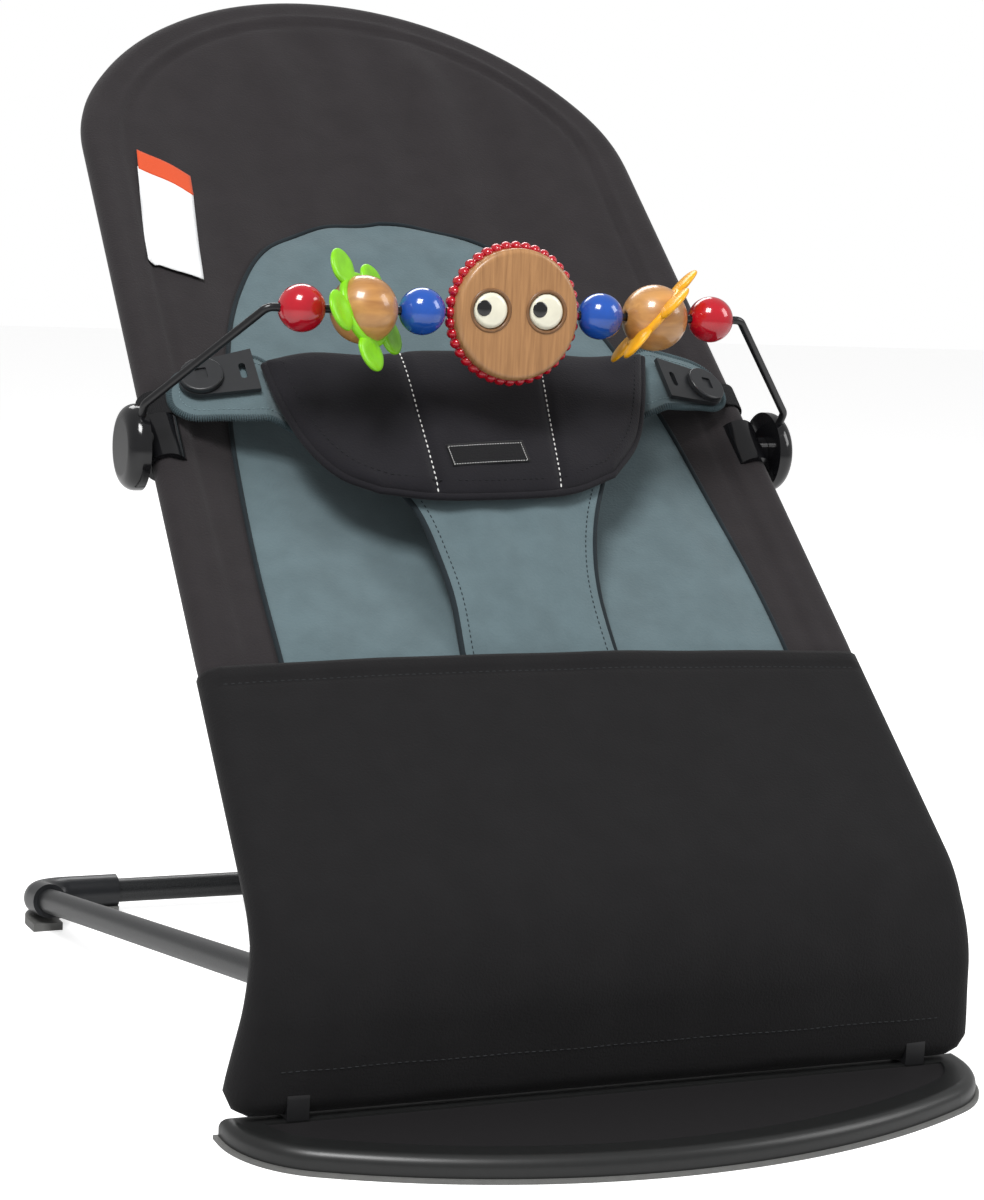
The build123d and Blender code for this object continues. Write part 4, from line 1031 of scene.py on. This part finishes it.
# %% Face rim
def rim_tree():
    tree = bpy.data.node_groups.new("bead_ring", "GeometryNodeTree")
    ask = tree.interface.new_socket
    ask("Geometry", in_out="INPUT", socket_type="NodeSocketGeometry")
    ask("Beads", in_out="INPUT", socket_type="NodeSocketInt").default_value = 40
    ask("Ring radius", in_out="INPUT", socket_type="NodeSocketFloat").default_value = 0.036
    ask("Bead size", in_out="INPUT", socket_type="NodeSocketVector").default_value = (0.003, 0.003, 0.003)
    ask("Material", in_out="INPUT", socket_type="NodeSocketMaterial")
    ask("Geometry", in_out="OUTPUT", socket_type="NodeSocketGeometry")
    nodes, links = tree.nodes, tree.links
    given, lay = nodes.new("NodeGroupInput"), nodes.new("GeometryNodeInstanceOnPoints")
    circle, bead = nodes.new("GeometryNodeMeshCircle"), nodes.new("GeometryNodeMeshIcoSphere")
    bead.inputs["Radius"].default_value = 1.0
    bead.inputs["Subdivisions"].default_value = 4
    links.new(given.outputs["Beads"], circle.inputs["Vertices"])
    links.new(given.outputs["Ring radius"], circle.inputs["Radius"])
    links.new(circle.outputs["Mesh"], lay.inputs["Points"])
    links.new(bead.outputs["Mesh"], lay.inputs["Instance"])
    links.new(given.outputs["Bead size"], lay.inputs["Scale"])
    end_tree(tree, given, lay)
    return tree


face_low, face_high = (np.array(c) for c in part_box("face_disc"))
face_centre = (face_low + face_high) / 2
face_centre[1] = joints["face_spin"]["pos_m"][1]
host_data = bpy.data.meshes.new("host")
host_data.from_pydata([(0, 0, 0)], [], [])
host = bpy.data.objects.new("host", host_data)
bpy.context.collection.objects.link(host)
beads = {"Beads": 40, "Ring radius": 0.0356, "Bead size": (0.00295, 0.00295, 0.0042), "Material": red}
rim = run_tree(host, rim_tree(), beads, "red_rim", red)
rim.data.transform(Matrix.Translation(face_centre) @ Matrix.Rotation(math.radians(90), 4, "X"))
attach(rim, "face")
around = np.linspace(0, 2 * math.pi, 120, endpoint=False)
band_line = np.stack([0.0352 * np.cos(around), 0 * around, 0.0352 * np.sin(around)], axis=-1) + face_centre
add_tube("red_rim_band", band_line, 0.0020, red, "face", 12, closed=True)
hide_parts("face_rim")

# %% [markdown]
# ## Eyes
# Each eye is a cream button with a black pupil painted off its middle. It turns in its socket,
# so the pupil rides on the eye's body.

# %% Eyes
EYE_EDGE = 0.0030
turn = np.linspace(0, 2 * math.pi, 80, endpoint=False)


def turned_about_y(r, y):
    """Points and faces of a round shape that looks forwards, from its radii and depths."""
    rows, sides = len(r), len(turn)
    points = np.stack([r[:, None] * np.cos(turn), np.broadcast_to(-y[:, None], (rows, sides)),
                       r[:, None] * np.sin(turn)], axis=-1)
    ends = [list(range(sides)), [(rows - 1) * sides + j for j in range(sides)]]
    return points.reshape(-1, 3), grid_faces(rows, sides, closed=True) + ends


for side in ("left", "right"):
    node = f"eye_{side}"
    low, high = (np.array(c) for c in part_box(node))
    centre = (low + high) / 2
    radius = float(high[0] - low[0]) / 2
    depth = float(high[1] - low[1])
    t = np.linspace(0, math.pi / 2, 20)[:-1]
    inner = radius - EYE_EDGE
    r = np.concatenate([[radius], inner + EYE_EDGE * np.cos(t), inner * np.linspace(1, 0.02, 12)])
    y = np.concatenate([[0.0], depth - EYE_EDGE + EYE_EDGE * np.sin(t),
                        depth + 0.0006 * (1 - np.linspace(1, 0, 12) ** 2)])
    points, faces = turned_about_y(r, y)
    eyeball = add_mesh(f"eyeball_{side}", points + [centre[0], high[1], centre[2]], faces, cream,
                       f"eye_{side}_body")
    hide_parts(node)
    # A thin dark ring in the gap round each eye: painted shade in that recess.
    groove = np.stack([0.0109 * np.cos(turn), 0 * turn, 0.0109 * np.sin(turn)], axis=-1)
    add_tube(f"socket_{side}", groove + [centre[0], face_low[1] + 0.0003, centre[2]], 0.0010, eye_gap_shade,
             "face", 8, closed=True)
    spot = np.array([centre[0] - 0.0046, high[1] - depth - 0.0003, centre[2] + 0.0012])
    rings = np.linspace(0, math.pi / 2, 12)
    pr, py = 0.0042 * np.cos(rings), 0.0009 * np.sin(rings)
    pr[-1] = 0.00002
    points, faces = turned_about_y(pr, py)
    add_mesh(f"pupil_{side}", points + spot, faces, pupil_black, f"eye_{side}_body")
print("Face is at", [round(float(c), 4) for c in face_centre])

# %% [markdown]
# ## Floor, light and camera
# The seat stands on a plain pale floor under soft studio light, with one large lamp high on the
# left, a weaker one on the right and a strip behind for the edges. The camera looks down a
# little from the front left through a long lens.

# %% Stage
def brighter(tree, socket, others, seen):
    """A brightness that is higher for what the camera sees than for the light it gives."""
    sees, level = tree.nodes.new("ShaderNodeLightPath"), tree.nodes.new("ShaderNodeMapRange")
    level.inputs["To Min"].default_value, level.inputs["To Max"].default_value = others, seen
    tree.links.new(sees.outputs["Is Camera Ray"], level.inputs["Value"])
    tree.links.new(level.outputs["Result"], socket)


floor_data = bpy.data.meshes.new("floor")
floor_data.from_pydata([(-6, -6, 0), (6, -6, 0), (6, 6, 0), (-6, 6, 0)], [], [(0, 1, 2, 3)])
floor_white = finish_of("floor_white", (0.80, 0.80, 0.80), 0.6, Emission_Color=(1, 1, 1, 1))
floor_glow = floor_white.node_tree.nodes["Principled BSDF"].inputs["Emission Strength"]
brighter(floor_white.node_tree, floor_glow, 0.0, 0.60)
floor_data.materials.append(floor_white)
floor = bpy.data.objects.new("floor", floor_data)
bpy.context.collection.objects.link(floor)
floor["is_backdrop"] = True

world = bpy.context.scene.world or bpy.data.worlds.new("World")
bpy.context.scene.world = world
world.use_nodes = True
sky = world.node_tree.nodes["Background"]
sky.inputs["Color"].default_value = (1, 1, 1, 1)
brighter(world.node_tree, sky.inputs["Strength"], 0.42, 1.0)


def lamp(name, place, aim, size, power):
    data = bpy.data.lights.new(name, "AREA")
    data.shape, data.size, data.size_y, data.energy = "RECTANGLE", size[0], size[1], power
    made = bpy.data.objects.new(name, data)
    bpy.context.collection.objects.link(made)
    made.location = place
    made.rotation_euler = (Vector(aim) - Vector(place)).to_track_quat("-Z", "Y").to_euler()


lamp("key", (-1.0, -1.2, 2.3), (0, 0, 0.4), (0.9, 0.9), 60)
lamp("fill", (1.9, -0.9, 1.5), (0, 0, 0.35), (0.9, 1.2), 18)
lamp("back", (0.2, 1.8, 1.7), (0, 0, 0.35), (1.6, 0.7), 18)

yaw, pitch, roll = -0.4016, 0.1512, 0.0488
look = Vector((math.sin(-yaw) * math.cos(pitch), math.cos(yaw) * math.cos(pitch), -math.sin(pitch)))
level = Vector((math.cos(yaw), math.sin(yaw), 0))
above = level.cross(look)
right_way = level * math.cos(roll) + above * math.sin(roll)
up_way = above * math.cos(roll) - level * math.sin(roll)
camera_data = bpy.data.cameras.new("camera")
camera_data.lens, camera_data.sensor_width = 82.49, 36
camera_data.shift_x, camera_data.shift_y = -0.0044, 0.0003
camera_data.clip_start, camera_data.clip_end = 0.05, 50
camera = bpy.data.objects.new("camera", camera_data)
bpy.context.collection.objects.link(camera)
stands_at = Matrix.Translation((-0.5748, -1.3935, 0.4508))
camera.matrix_world = stands_at @ Matrix((right_way, up_way, -look)).transposed().to_4x4()
bpy.context.scene.camera = camera
bpy.context.scene.view_settings.view_transform = "Standard"

# %% Sizes
low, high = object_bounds()
print("Final size:", [round(c, 3) for c in high - low])
